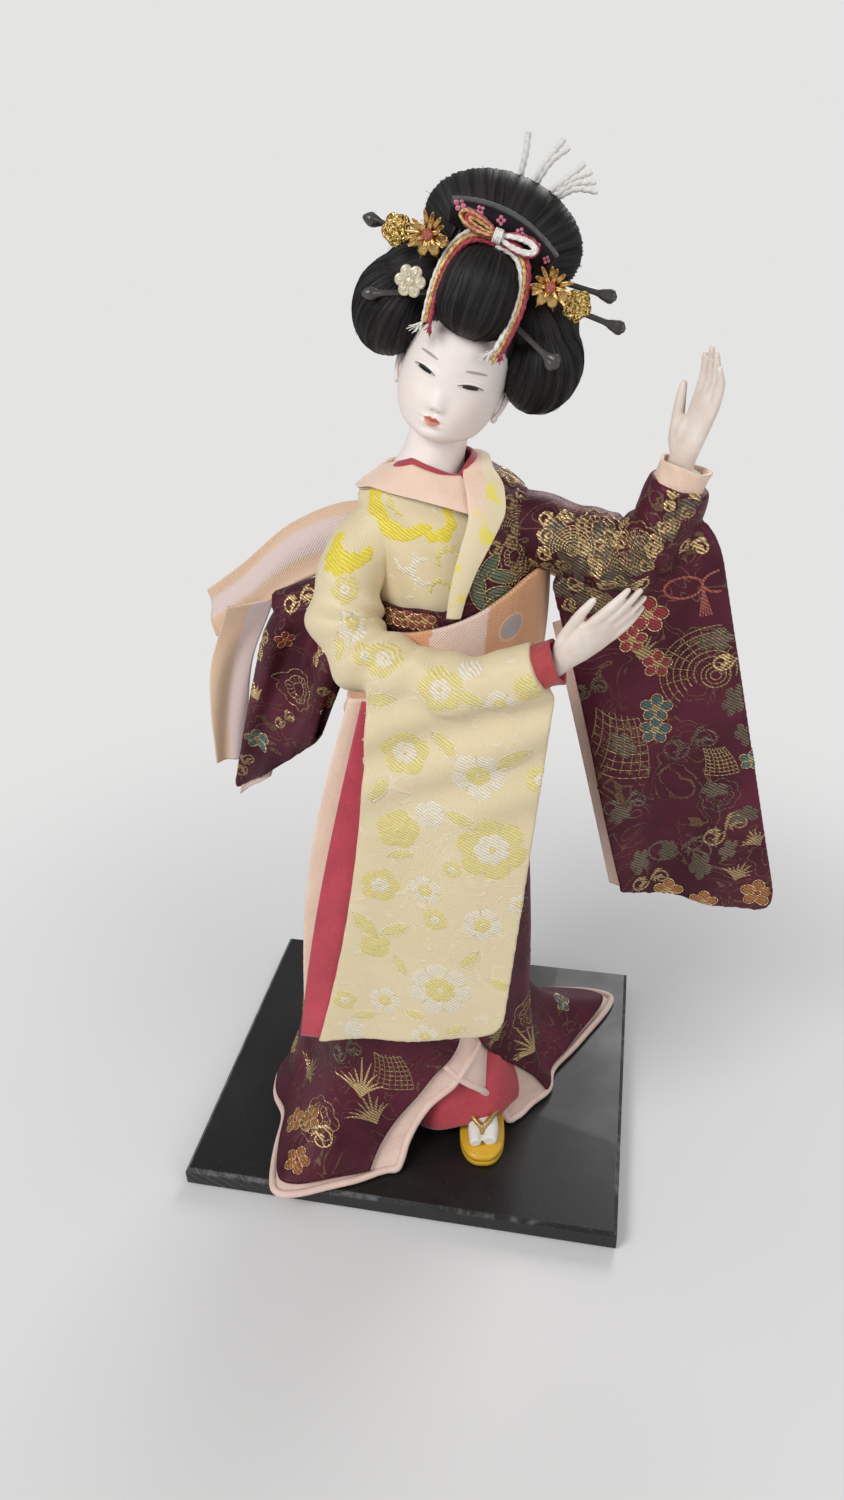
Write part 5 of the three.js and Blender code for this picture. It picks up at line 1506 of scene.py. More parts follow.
def purple_crease(p):
    x, y, z = p.T
    fan = np.arctan2(x - 66, 226 - z)
    below = blend_step(214 - z, 0, 30)
    return (1.8 * np.cos(8 * fan + 0.5) + 0.3 * np.cos(15 * fan)) * below * (1 - 0.3 * below)


purple_sleeve = sewn_sleeve(
    "purple_sleeve_brocade", purple_arm,
    bag_form(purple_panel, 4.5, 0, 0.7, (0.16, 0.12), (0.14, 0.09)),
    ((42.5, -5, 212), (68, -7, 109), (-0.96, 0.0, -0.25)), satin, purple_crease)
finish_piece(purple_sleeve, "figure", "purple_brocade", "left_sleeve_arm", "left_sleeve_drop")
gold_on_sleeve, dye_on_sleeve = Stitching(purple_sleeve), Stitching(purple_sleeve)
both = [gold_on_sleeve, dye_on_sleeve]


def stitch_cord(work, size, dye):
    """A knotted cord with two loops and a tassel."""
    t = np.linspace(0, 2 * np.pi, 26)
    for way in (1, -1):
        x, y = way * size * 0.5 * (1 - np.cos(t)), size * 0.3 * np.sin(t) + size * 0.1
        work.thread(points_at(x, y), 0.9, dye)
    for k in range(5):
        x, y = np.linspace(0, (k - 2) * 0.08 * size, 8), np.linspace(0, -0.8 * size, 8)
        work.thread(points_at(x, y), 0.6, dye)


def embroider(works, motifs, width, blades):
    """Gold motifs where the photo has them: column, row, size and turn of each kind and dye."""
    for (kind, dye), places in motifs.items():
        for column, row, size, turn in places:
            if aim_from_camera(works, column, row, turn):
                stitch(works[0], kind, size, dye, width, blades)


def embroider_blossoms(works, blossoms):
    """Dyed blossoms where the photo has them: column, row and size of each dye and heart."""
    for (dye, heart), places in blossoms.items():
        for column, row, size in places:
            if aim_from_camera(works, column, row):
                stitch_blossom(works[1], works[0], size, dye, heart)



for column, row, size, count in (
        (552, 535, 5, 5), (575, 560, 6.5, 6), (600, 540, 5.5, 5), (615, 575, 6.5, 7),
        (590, 598, 5.5, 6), (640, 555, 5, 5), (560, 585, 4.5, 5), (668, 528, 4.5, 5),
        (690, 505, 4, 5), (640, 862, 4.5, 5), (668, 850, 4, 6), (700, 866, 5, 5), (728, 850, 4, 5),
        (745, 815, 4.5, 6), (715, 790, 4, 5), (735, 700, 5, 6), (716, 640, 5, 5), (622, 745, 5, 5), (620, 815, 4, 6), (745, 735, 4, 5)):
    if aim_from_camera([gold_on_sleeve], column, row, 0.02 * row):
        gold_on_sleeve.patch(scallops(size, count, 0.45) * (1.25, 0.8), bronze, (0, 0), 0.1)
embroider(both, {
    ("fan", bright_gold): [(572, 548, 6, 0.3)],
    ("peony", bright_gold): [(600, 528, 6, 1.2)],
    ("fan", dull_gold): [(620, 562, 6, 0.4), (712, 672, 15, 0.9)],
    ("scroll", bright_gold): [
        (585, 588, 7, -0.5), (660, 535, 5, 0.9), (556, 518, 6, 0.0), (690, 545, 6, -0.3),
        (545, 545, 6, 1.4), (590, 555, 6, 2.2), (610, 545, 5, 0.3), (600, 580, 6, 1.9),
        (630, 585, 6, 2.7), (650, 560, 6, 1.1), (550, 598, 6, 0.4), (620, 530, 5, 1.7),
        (672, 500, 4, 1.2), (735, 660, 8, 0.2)],
    ("peony", dull_gold): [(636, 545, 6, 0.0)],
    ("scroll", dull_gold): [
        (680, 520, 6, 0.6), (560, 570, 6, 0.8), (575, 520, 5, 2.6), (575, 612, 6, 2.0),
        (540, 565, 5, 2.9), (725, 830, 10, 0.6), (650, 880, 8, 0.2)],
    ("net", dull_gold): [(605, 600, 6, 0.2), (625, 745, 21, -0.25), (722, 760, 10, 0.1)],
    ("grass", bright_gold): [(700, 500, 4, 0.2)],
    ("scroll", bronze): [
        (690, 745, 11, 0.4), (625, 805, 9, 0.2), (680, 850, 13, 0.1), (590, 690, 7, 0.4)],
    ("peony", bronze): [(720, 795, 6, 0)],
    ("grass", dull_gold): [(735, 880, 8, -0.2), (640, 660, 8, -0.2), (760, 845, 7, 0.8)],
}, 0.85, 8)
embroider_blossoms(both, {
    (crimson, dull_gold): [(648, 615, 5.5), (632, 640, 4.2), (657, 664, 4.2)],
    (teal, dull_gold): [(656, 708, 4.6), (655, 730, 4.6), (752, 760, 3.4)],
    (orange, crimson): [(686, 898, 5.0), (757, 893, 5.2)],
    (orange, dull_gold): [(668, 890, 4.6), (703, 902, 4.4)],
})
if aim_from_camera(both, 703, 588, 0.2):
    stitch_cord(dye_on_sleeve, 10, (0.42, 0.10, 0.07))
back_motifs = {0: ("fan", 10, dull_gold), 1: ("scroll", 11, bronze), 3: ("net", 16, dull_gold),
               4: ("scroll", 11, dull_gold), 5: ("grass", 13, dull_gold)}
for row, v in enumerate((0.12, 0.30, 0.48, 0.66, 0.84)):
    for column, w in enumerate((0.2, 0.5, 0.8)):
        spot = purple_panel(np.array(w), np.array(v), np.array(-4.0))
        for work in both:
            work.aim(spot, (0, 1, 0), 0.4 * row - 0.5 * column)
        number = (row * 2 + column) % 6
        if number in back_motifs:
            kind, size, dye = back_motifs[number]
            stitch(gold_on_sleeve, kind, size, dye, 0.85, squat=14 / 16)
        else:
            stitch_blossom(dye_on_sleeve, gold_on_sleeve, 4.8, (orange, teal)[row % 2], dull_gold)
sleeve_gold = gold_on_sleeve.sewn("left_sleeve_gold_threads", gold_thread, "purple_brocade")
sleeve_dyed = dye_on_sleeve.sewn("left_sleeve_dyed_flowers", dyed_thread, "purple_brocade")
strip = lining_strip(purple_panel, lambda v: -0.07 + 0 * v, 0.22, 0.12, 0.99, 0.0, 0.3)
sheet("left_sleeve_lining_strip", strip, 26, 80, 0.7, pink_silk, "pink_silk", "left_sleeve_lining",
      "hung", ["left_sleeve_arm"])

# Empty sleeve
# The kimono's right sleeve, slipped off the arm. It hangs from the waist in deep folds, with
# its pink lining out at the lower corner.
empty_panel = panel([(-13, 3, 200), (-47, 8, 194), (-33, 6, 148), (-70, 11, 119)], 2.4)


def empty_crease(p):
    x, y, z = p.T
    along_fold = (x + 30) * 0.80 + (z - 165) * -0.36
    fade = blend_step(201 - z, 2, 18) * (0.3 + 0.7 * blend_step(z, 122, 150))
    deep, fine = np.cos(along_fold * 0.36 + 0.9), np.cos(along_fold * 0.95 + 0.06 * z)
    return (3.0 * deep + 0.4 * fine) * fade


empty_top = tube_form([(-14, 4, 198), (-26, 6, 199.5), (-44, 8, 194)], [4.6, 5.4, 4.4], 30, 40,
                      (0, -1, 0))
empty_sleeve = sewn_sleeve(
    "empty_sleeve_brocade", empty_top,
    bag_form(empty_panel, 7, 0, 0.55, (0.14, 0.20), (0.10, 0.08)),
    ((-13, 3, 200), (-33, 6, 148), (0.93, 0.0, -0.36)), satin, empty_crease)
finish_piece(empty_sleeve, "figure", "purple_brocade", "empty_sleeve")
gold_on_empty, dye_on_empty = Stitching(empty_sleeve), Stitching(empty_sleeve)
both = [gold_on_empty, dye_on_empty]
embroider(both, {
    ("scroll", bright_gold): [(300, 600, 8, 0.4), (262, 645, 8, 1.0), (318, 655, 6, 0.9)],
    ("fan", bright_gold): [(318, 620, 8, -0.8)],
    ("peony", dull_gold): [(300, 690, 7, 0.2)],
    ("grass", bright_gold): [(258, 700, 7, 0.5)],
    ("scroll", dull_gold): [(245, 765, 7, 0.9), (285, 720, 6, 0.5), (330, 690, 5, 0.2)],
}, 0.8, 7)
embroider_blossoms(both, {
    (teal, dull_gold): [(257, 738, 4.2)], (orange, dull_gold): [(331, 700, 3.2)],
    (crimson, dull_gold): [(285, 640, 3.2)],
})
for k, (w, v) in enumerate(((0.2, 0.2), (0.65, 0.15), (0.4, 0.45), (0.8, 0.5), (0.3, 0.75),
                            (0.7, 0.82))):
    spot = empty_panel(np.array(w), np.array(v), np.array(-5.0))
    for work in both:
        work.aim(spot, (0, 1, 0), 0.5 * k)
    if k % 3 < 2:
        kind, size = (("scroll", 9), ("peony", 7))[k % 3]
        stitch(gold_on_empty, kind, size, dull_gold, 0.8)
    else:
        stitch_blossom(dye_on_empty, gold_on_empty, 4.2, teal, dull_gold)
empty_gold = gold_on_empty.sewn("empty_sleeve_gold_threads", gold_thread, "purple_brocade")
empty_dyed = dye_on_empty.sewn("empty_sleeve_dyed_flowers", dyed_thread, "purple_brocade")


def empty_lining_spot(u, v):
    return empty_panel(0.5 + 0.4 * u, 0.8 + 0.24 * v, 0.5 * np.cos(5 * u))


sheet("empty_sleeve_lining_tip", empty_lining_spot, 24, 24, 0.9, pink_silk, "pink_silk",
      "empty_sleeve_lining", "hung", ["empty_sleeve"])

# Cuffs
# The ends of the under-sleeves: a red one at the right wrist and a peach one at the left,
# each a short tube of cloth drawn over the wadding.
cuff_red = plain_silk("cuff_red", (0.32, 0.022, 0.028), (0.52, 0.062, 0.066), 1.0)


def cuff_spot(stops, radii, crumple):
    line = smooth_path(stops, 60)
    ahead = unit(np.gradient(line, axis=0))

    def spot(u, v):
        inside = np.clip(v, 0, 1)
        p, way = (on_path(table, np.linspace(0, 1, 61), inside) for table in (line, ahead))
        turn = u * 2 * np.pi
        ragged = crumple * v * (0.6 * np.cos(turn + 2.2) + 0.3 * np.cos(3 * turn))
        p = p + way * ((v - inside) * 10 + ragged)[..., None]
        side = unit(np.cross(way, (0.2, -0.9, 0.1)))
        other = np.cross(way, side)
        bulge = 0.2 + 0.25 * np.cos(3 * turn + 1) + 0.15 * np.cos(5 * turn + 6 * v)
        radius = (np.interp(v, np.linspace(0, 1, len(radii)), radii) + crumple * v * bulge
                  + 0.18 * np.cos(7 * turn + 9 * v) + 0.35 * hump(v, 1, 0.12))
        out = side * np.cos(turn)[..., None] + other * np.sin(turn)[..., None]
        return p + radius[..., None] * out
    return spot


for side, stops, radii, crumple, finish, slot in (
        ("right", [(37, -36.8, 198), (41.5, -36.9, 199.6), (46.5, -37.1, 201.8)], [5.5, 5.5, 5.3],
         0.3, cuff_red, "red_silk"),
        ("left", [(71.5, -9.3, 233.5), (73.4, -9.8, 240), (74.9, -10, 245.6)], [6, 6.1, 5.8], 1.0,
         peach_silk, "peach_silk")):
    sheet(f"{side}_cuff_tube", cuff_spot(stops, radii, crumple), 60, 24, 0.9, finish, slot,
          f"{side}_cuff", "gathered", [f"{side}_arm_wadding"], ring=True)

# Hands
# Slim hands carved in wood under a white shell-powder coat, with the wrist pushed on the arm
# wire. Handling has left a little grime on them, and painted shade darkens the hollow of the
# palm and the creases between the fingers.
shell_coat = Finish("shell_coat", Roughness=0.52, Subsurface_Weight=0.0)
spot = shell_coat.object_place()
grime = shell_coat.noise(spot, 120, detail=5, roughness=0.6)
# Painted shade: the coat turns darker where ambient occlusion finds creases and hollows.
crease_shade = shell_coat.node("AmbientOcclusion", {"Distance": 0.0035}, output=1)
shade = shell_coat.blend(
    shell_coat.soft(grime, 0.35, 0.75), (0.74, 0.62, 0.53), (0.86, 0.78, 0.71))
shade = shell_coat.blend(shell_coat.soft(crease_shade, 0.75, 0.35), shade, (0.50, 0.38, 0.29))
shell_coat.set("Base Color", shade)
shell_coat.raise_by(shell_coat.noise(spot, 700, detail=3), 0.12, 0.0003)


def hand_form(mirror, bend, spread, slim, sway):
    """Wrist, flat palm, fingers and thumb along +Z, the palm toward +Y. Sway sets the wrist off."""
    palm_rows = [(-7, 3.9, 3.5, 0), (0, 3.6, 3.1, 0), (5, 4.5 * slim, 2.7, 0),
                 (10, 5.1 * slim, 2.3, 0.4), (14, 4.9 * slim, 2.0, 0.8), (16.4, 3.9 * slim, 1.4, 1)]
    turn = full_turn(40)
    rings = []
    for z in np.linspace(-7, 16.4, 30):
        wide, deep, y = along(palm_rows, z)
        x, y = mirror * wide * np.cos(turn), y + deep * np.sin(turn)
        rings.append(points_at(x, y, z))
    forms = [rings_form(rings)]
    for x, length, curl in ((-3.6, 13.0, 0.8), (-1.25, 14.8, 1.0), (1.2, 14.0, 1.15),
                            (3.5, 11.4, 1.3)):
        x = mirror * x * slim
        path = [(x, 0.5, 11.5), (x * (1 + 0.06 * spread), 0.9, 12 + length * 0.36),
                (x * (1 + 0.12 * spread), 1.0 + 0.45 * bend * curl, 12 + length * 0.72),
                (x * (1 + 0.17 * spread), 1.0 + bend * curl, 12 + length - 0.6)]
        forms.append(tube_form(path, [1.45, 1.45, 1.32, 1.25, 1.05, 0.8], 16, 26, (0, 1, 0)))
        forms.append(lump_form(path[-1], (0.8, 0.8, 1.0), 12, 8))
    thumb = [(mirror * -1.6, 0.5, -0.5), (mirror * -4.5, 1.5, 5.5), (mirror * -6.6, 2.2, 11.5),
             (mirror * -7.8, 2.5, 16.4)]
    forms.append(tube_form(thumb, [1.5, 2.0, 1.65, 1.4, 0.95], 16, 26, (0, 1, 0)))
    forms.append(lump_form(thumb[-1], (0.95, 0.95, 1.1), 12, 8))
    forms.append(lump_form((mirror * -3.3 * slim, 1.6, 6.5), (2.0, 1.6, 4.2), 16, 10))
    spots, faces = together(*forms)
    spots = np.asarray(spots, float)
    leaning = np.interp(spots[:, 2], [0, 5, 12, 20, 27], [1, 0.6, 0, -0.4, 0])
    return spots + leaning[:, None] * np.array([[sway[0], sway[1], 0]]), faces


def hand_frame(place, ahead, palmward):
    up = Vector(ahead).normalized()
    side = -up.cross(Vector(palmward)).normalized()
    face = up.cross(side)
    turned = Matrix((side, face, up)).transposed().to_4x4()
    return Matrix.Translation(place) @ turned


for name, mirror, bend, spread, slim, sway, place, ahead, palmward in (
        ("right_hand", 1, 1.6, 0.9, 1.0, (0, 0), (47.5, -37.2, 202.5), (20, -1, 17.5),
         (-0.35, 1, 0.3)),
        ("left_hand", -1, 1.8, 0.9, 0.84, (1.2, 1.1), (75.6, -10, 247), (6, 0.5, 28),
         (-0.75, -0.6, 0))):
    form = placed(hand_form(mirror, bend, spread, slim, sway), hand_frame(place, ahead, palmward))
    hand = moulded(f"{name}_carved", form, 0.32, 5, shell_coat)
    finish_piece(hand, "figure", "shell_white", name)

# Head
# A head and neck moulded in one and coated with polished shell powder. The features are painted
# on: grey brows, lowered eyes, a small red mouth and a soft grey shade along the hairline.
neck_frame = (Matrix.Translation((7.5, -3, 240)) @ Matrix.Rotation(math.radians(4), 4, "Z")
              @ Matrix.Rotation(math.radians(15), 4, "Y"))
head_frame = (neck_frame @ Matrix.Translation((0, -1, 24.5))
              @ Matrix.Rotation(math.radians(6.5), 4, "Y"))
face_frame = head_frame @ Matrix.Rotation(math.radians(-4.5), 4, "Z")


def head_piece(name, form, finish, frame_matrix, body, slot, *nodes):
    """A piece that is made in a frame of its own, in millimetres, and set in its place."""
    piece = join(name, *form, finish)
    matrix = frame_matrix.copy()
    matrix.translation = matrix.translation * MM
    piece.matrix_world = matrix
    finish_piece(piece, body, slot, *nodes)
    return piece


face = Finish("face_paint", Roughness=0.46)
spot = face.object_place()
across, deep, up = face.parts(spot)
x, y, z = across * 1000, deep * 1000, up * 1000
front = face.soft(y, -5, -7)
side = abs(x)
tone = face.noise(spot, 90, detail=3)
skin = face.blend(tone, (0.84, 0.745, 0.685), (0.885, 0.80, 0.745))
cheek_far = face.math("SQRT", (side - 7.5) ** 2 + (z + 3.0) ** 2)
blush = face.soft(cheek_far, 6.5, 0.5) * front
skin = face.blend(blush * 0.28, skin, (0.86, 0.66, 0.59))
hairline = face.soft(z + side * 0.10 + tone * 1.6, 12.4, 15.4)
skin = face.blend(hairline * 0.35, skin, (0.16, 0.15, 0.155))
rise = (side - 6.2) * 0.10
share = (side - 6.2) / 3.1
arch = face.most(1 - share * share, 0.0)
upper_lid = z - 3.1 - rise - arch * 0.62
lower_lid = z - 3.1 - rise + arch * 0.34
inside = face.soft(upper_lid, 0.06, -0.06) * face.soft(lower_lid, -0.06, 0.06) * front
iris_far = face.math("SQRT", ((side - 6.1) * 0.80) ** 2 + ((z - 3.3) * 0.95) ** 2)
iris = face.soft(iris_far, 1.66, 1.40) * inside
pupil = face.soft(iris_far, 0.9, 0.7) * inside
reach = face.soft(abs(share), 1.06, 0.98) * front
lid_thick = 0.19 - share * share * 0.13
lid_line = face.soft(abs(upper_lid - 0.06) - lid_thick, 0.10, -0.08) * reach
lash = face.soft(abs(lower_lid), 0.20, 0.08) * reach * 0.35
fine = face.math("SINE", x * 16 + z * 3)
lashes = face.soft(abs(lower_lid + 0.38), 0.40, 0.28) * face.soft(fine, 0.6, 0.9)
lashes = lashes * reach * 0.35
# Painted shade in the crease above each upper lid.
fold = face.soft(abs(upper_lid - 1.0), 0.26, 0.06) * reach * 0.22
brow_share = (side - 6.3) / 2.75
brow_line = z - 7.0 - (side - 6.3) * 0.10 + brow_share * brow_share * 0.16
brow_thick = face.most(1 - brow_share * brow_share, 0.0) ** 0.6 * 0.38
brow = face.soft(abs(brow_line) - brow_thick, 0.12, -0.12) * front
brow = brow * face.soft(abs(brow_share), 1.0, 0.9)
hair_stroke = face.noise(face.vector(x * 1.2, z * 5 + x * 1.5), 1.0, detail=2)
mouth_x = x / 2.2
part_line = z + 7.45 - abs(x) * 0.13 + face.soft(side, 1.0, 0.0) * 0.16
upper_edge = z + 6.35 + mouth_x * mouth_x * 0.85 + face.soft(side, 0.75, 0.0) * 0.32
lower_edge = z + 8.75 - mouth_x * mouth_x * 0.95
upper_lip = face.soft(part_line, -0.05, 0.1) * face.soft(upper_edge, 0.08, -0.08)
lower_lip = face.soft(part_line, 0.05, -0.08) * face.soft(lower_edge, -0.08, 0.08)
near_mouth = face.soft(side, 2.3, 2.05) * front
upper_lip, lower_lip = upper_lip * near_mouth, lower_lip * near_mouth
lip_gap = face.soft(abs(part_line), 0.16, 0.05) * face.soft(side, 2.0, 1.5) * front
nostril_far = face.math("SQRT", (side - 0.95) ** 2 + ((z + 4.75) * 1.5) ** 2)
nostril = face.soft(nostril_far, 0.55, 0.2) * front
for coverage, paint in (
        (fold, (0.45, 0.34, 0.30)), (inside * 0.85, (0.60, 0.57, 0.55)),
        (iris, (0.014, 0.010, 0.009)), (pupil, (0.004, 0.003, 0.003)),
        (face.most(lash, lashes), (0.08, 0.06, 0.055)), (lid_line * 0.96, (0.010, 0.008, 0.008)),
        (brow * (hair_stroke * 0.5 + 0.42), (0.17, 0.135, 0.13)),
        (upper_lip * 0.95, (0.50, 0.105, 0.070)), (lower_lip * 0.92, (0.66, 0.225, 0.145)),
        (lip_gap * 0.7, (0.25, 0.035, 0.030)), (nostril * 0.5, (0.40, 0.26, 0.22))):
    skin = face.blend(coverage, skin, paint)
face.set("Base Color", skin)
face.set("Roughness", 0.48 - face.most(iris, upper_lip, lower_lip) * 0.2)
face.raise_by(face.noise(spot, 800, detail=3), 0.06, 0.0003)
face_rows = [(-12.6, 7.4, 11.9, 0), (-10, 10.7, 12.9, 3), (-5, 12.9, 13.2, 8), (0, 13.4, 12.9, 12),
             (6, 13.4, 13, 14.5), (12, 12.2, 12, 14), (17, 8.4, 8.6, 10.5)]
face_relief = [  # how far it stands out, place across and half width, height and half height
    (0.25, 0, 2.6, 1.6, 3.6), (0.40, 1.45, 0.95, -4.1, 1.0),  # bridge and wings of the nose
    (-0.55, 5.9, 3.2, 4.4, 1.9), (0.6, 6.1, 2.8, 3.6, 1.0),  # eye sockets and eyeballs
    (0.75, 0, 2.3, -6.8, 0.65), (-0.5, 0, 2.4, -7.55, 0.3), (0.95, 0, 1.9, -8.3, 0.7),  # lips
    (-0.45, 0, 2.4, -9.8, 0.7), (-0.25, 0, 0.5, -5.6, 0.6),  # under and over the lips
    (0.75, 6.6, 4.2, -4.4, 4.2), (0.55, 0, 3.4, -11.3, 1.5),  # cheeks and chin
]


def skull_form():
    turn = full_turn(220)
    rings = []
    for share in np.linspace(0, 1, 150):
        z = -13.5 + 32 * share
        wide, fore, aft = along(face_rows, np.clip(z, -12.6, 17))
        shrink = math.sqrt(max(1 - max((-11.8 - z) / 1.75, 0) ** 2, 0.0025))
        shrink *= math.sqrt(max(1 - max((z - 15.5) / 3.05, 0) ** 2, 0.0025))
        c, s = np.cos(turn), np.sin(turn)
        chin = -4.5 * (1 - shrink) if z < 0 else 0
        x = wide * shrink * c
        y = np.where(s < 0, fore, aft) * shrink * s + chin
        a, ahead = np.abs(x), blend_step(-s, 0.15, 0.55)
        relief = 1.5 * hump(a, 0, 1.9) * blend_step(1.6 - z, 0, 5.4) * blend_step(z, -5.7, -3.5)
        for height, middle, spread, level, tall in face_relief:
            relief = relief + height * hump(a, middle, spread) * hump(z, level, tall)
        y = y - ahead * relief
        rings.append(points_at(x, y, z))
    return rings_form(rings)


def ear_form(way):
    rim = tube_form([(way * 13.5, -0.4, -4.6), (way * 14.6, 0.0, -2), (way * 15.0, 0.6, 1.5),
                     (way * 14.9, 2.4, 3.0), (way * 14.7, 4.0, 1.4), (way * 14.3, 3.6, -1.6),
                     (way * 13.5, 1.6, -4.2)], [0.5, 0.6, 0.65, 0.65, 0.6, 0.55, 0.5], 10, 44)
    return together(rim, lump_form((way * 13.5, 1.8, -1), (1.1, 2.3, 3.9)),
                    lump_form((way * 13.8, 0.6, -4.3), (0.9, 1.1, 1.3), 14, 10))


neck_profile = [(-4, 12.5), (-2, 11.4), (0, 10.4), (2, 9.5), (4, 8.8), (6, 8.3), (10, 7.9),
                (18, 7.8)]
turn = full_turn(72)
neck_rings = []
for height in np.linspace(-4, 18, 36):
    radius = float(along(neck_profile, height)[0])
    sinew = 0.25 * hump(np.abs(np.cos(turn)), 0.75, 0.2) * (np.sin(turn) < 0)
    throat = radius + sinew + 0.3 * hump(turn, 1.5 * np.pi, 0.3) * hump(height, 8, 4)
    neck_rings.append(points_at(throat * np.cos(turn), throat * np.sin(turn), height))
neck = placed(rings_form(neck_rings), face_frame.inverted() @ neck_frame)
head_form = together(skull_form(), ear_form(1), ear_form(-1), neck)
head_piece("head_moulded", head_form, face, face_frame, "head", "shell_white", "head")

# Hair
# Black fibre combed smooth over wads: a puff over the brow, a wing at each side, a cap at the
# back and a broad topknot. Single hairs stand out where it has been handled.
hair_fibre = Finish("hair_fibre", Anisotropic=0.5, Specular_IOR_Level=0.25)
laid_strands, groove_depth = 190, 0.0036
lock = hair_fibre.node("Attribute", {}, output=1, attribute_name="lock")
streak = hair_fibre.noise(lock, 1.6, detail=4, roughness=0.65)
broad = hair_fibre.noise(lock, 0.35, detail=2)
shade = hair_fibre.blend(
    hair_fibre.soft(streak, 0.35, 0.72), (0.0045, 0.004, 0.004), (0.030, 0.025, 0.024))
lit = hair_fibre.soft(broad, 0.55, 0.8) * 0.5
hair_fibre.set("Base Color", hair_fibre.blend(lit, shade, (0.042, 0.034, 0.031)))
hair_fibre.set("Roughness", streak * 0.22 + 0.42)
hair_fibre.raise_by(streak, 0.55, 0.0006)


def combed_puff(name, node, seed, lumps, ends, strays):
    """Hair combed over one or two wads from one end to the other, with strands laid on it."""
    chance = np.random.default_rng(seed)
    (middle, half), *shoulder = [np.asarray(lump, float) for lump in lumps]
    first, last = unit(np.asarray(ends, float))
    centre, apart = (first + last) / 2, np.linalg.norm(last - first) / 2
    ahead = unit(last - first)
    side = unit(np.cross(ahead, (0.31, 0.2, 0.93) if abs(ahead[2]) < 0.8 else (1, 0.1, 0)))
    other = np.cross(ahead, side)
    waves = [(chance.integers(18, 60), chance.uniform(0, 6.3), 0.4) for _ in range(5)]
    waves += [(chance.integers(70, 150), chance.uniform(0, 6.3), 0.8) for _ in range(7)]

    def surface(share, turn, extra):
        out = side * np.cos(turn)[..., None] + other * np.sin(turn)[..., None]
        across = np.cross(ahead, out)
        off = across @ centre
        ring = np.sqrt(1 - off ** 2)
        end_angle = np.arctan2(out @ centre, apart)
        angle = np.pi - end_angle + share * (2 * end_angle - np.pi)
        ball = across * off[..., None] + ring[..., None] * (
            ahead * np.cos(angle)[..., None] + out * np.sin(angle)[..., None])
        groove = sum(a * np.cos(n * turn + p + 0.8 * np.sin(5 * share + n)) for n, p, a in waves)
        radius = 1 + groove_depth * groove * np.sin(np.pi * share) + extra
        ray = ball * half
        for spot, size in shoulder:
            a, b = ray / size, (middle - spot) / size
            aa, ab, bb = (a * a).sum(-1), a @ b, b @ b
            reach = (-ab + np.sqrt(np.maximum(ab ** 2 - aa * (bb - 1), 0))) / aa
            radius = radius * (1 + np.clip(reach, 0, 2) ** 9) ** (1 / 9) / 1.02
        return middle + ray * radius[..., None]

    share = np.linspace(0, 1, 70)[1:-1, None]
    turn = full_turn(300)[None]
    share, turn = np.broadcast_arrays(share, turn)
    forms = [rings_form(surface(share, turn, 0 * share))]
    locks = [points_at(np.cos(turn), np.sin(turn), 0.05 * share).reshape(-1, 3)]
    locks.append(np.array([[1, 0, -0.03], [1, 0, 0.03]]))
    for k in range(laid_strands + strays):
        start = chance.uniform(0.03, 0.6)
        path = np.linspace(start, min(start + chance.uniform(0.25, 0.9), 0.97), 15)
        turn_at = chance.uniform(0, 2 * np.pi) + 0.03 * np.sin(9 * path + k)
        lift = 0.003 + 0.007 * np.sin(np.linspace(0, np.pi, 15))
        if k >= laid_strands:
            lift = lift + np.linspace(0, 1, 15) ** 2 * chance.uniform(0.02, 0.07)
        forms.append(tube_form(surface(path, turn_at + 0 * path, lift), [0.04, 0.07, 0.03], 4, 16))
        count = len(forms[-1][0])
        locks.append(np.tile([[math.cos(k), math.sin(k), 0.3 * k]], (count, 1)))
    piece = head_piece(name, together(*forms), hair_fibre, head_frame, "head", "hair_black", node)
    lock_data = piece.data.attributes.new("lock", "FLOAT_VECTOR", "POINT")
    lock_data.data.foreach_set("vector", (np.concatenate(locks) * 12).astype(np.float32).ravel())


combed_puff("hair_back_cap", "hair_back", 1, [((0, 6.5, 10.5), (16.5, 16, 17))],
            ((0, 0, 1), (0, -0.1, -1)), 24)
combed_puff("hair_front_puff", "hair_front", 2,
            [((-1, -8.5, 24.3), (10.4, 9.2, 10.4)), ((-1, -9.2, 20.4), (10.5, 8.4, 6.6))],
            ((0, 0.75, 0.66), (0, 0.2, -0.98)), 12)
for way, word, seed in ((-1, "right", 3), (1, "left", 4)):
    combed_puff(f"hair_{word}_wing", f"hair_{word}_side", seed,
                [((way * 20.5, 3, 11.8), (10.5, 13, 12.4)),
                 ((way * 15.5, 4.5, 22), (9.8, 11.5, 9.4))],
                ((way * -0.6, -0.3, 0.75), (way * -0.55, 0.5, -0.67)), 18)
combed_puff("hair_topknot_roll", "hair_topknot", 5, [((-0.5, 9, 36), (20.5, 13.5, 13.5))],
            ((0, -0.8, -0.6), (0, 0.7, -0.7)), 26)

# Comb
# A black lacquered wooden comb with an arched back, pushed into the topknot. A grey band runs
# along the arch, and small pink blossoms of four dots are painted below it.
comb_frame = (head_frame @ Matrix.Translation((-1.2, -5.6, 30.5))
              @ Matrix.Rotation(math.radians(-8), 4, "X")
              @ Matrix.Rotation(math.radians(6), 4, "Y"))
comb_lacquer = mottled("comb_lacquer", (0.004, 0.003, 0.004), (0.012, 0.009, 0.011), 220, 4,
                       rough=(0.3, 0.2), Specular_IOR_Level=0.25)
grey_band = mottled("comb_grey_band", (0.045, 0.045, 0.047), (0.16, 0.155, 0.155), 700, 4,
                    rough=(0.3, 0.3), Metallic=0.3)
pink_paint = mottled("comb_pink_paint", (0.46, 0.08, 0.16), (0.74, 0.24, 0.34), 900, 3,
                     Roughness=0.4)


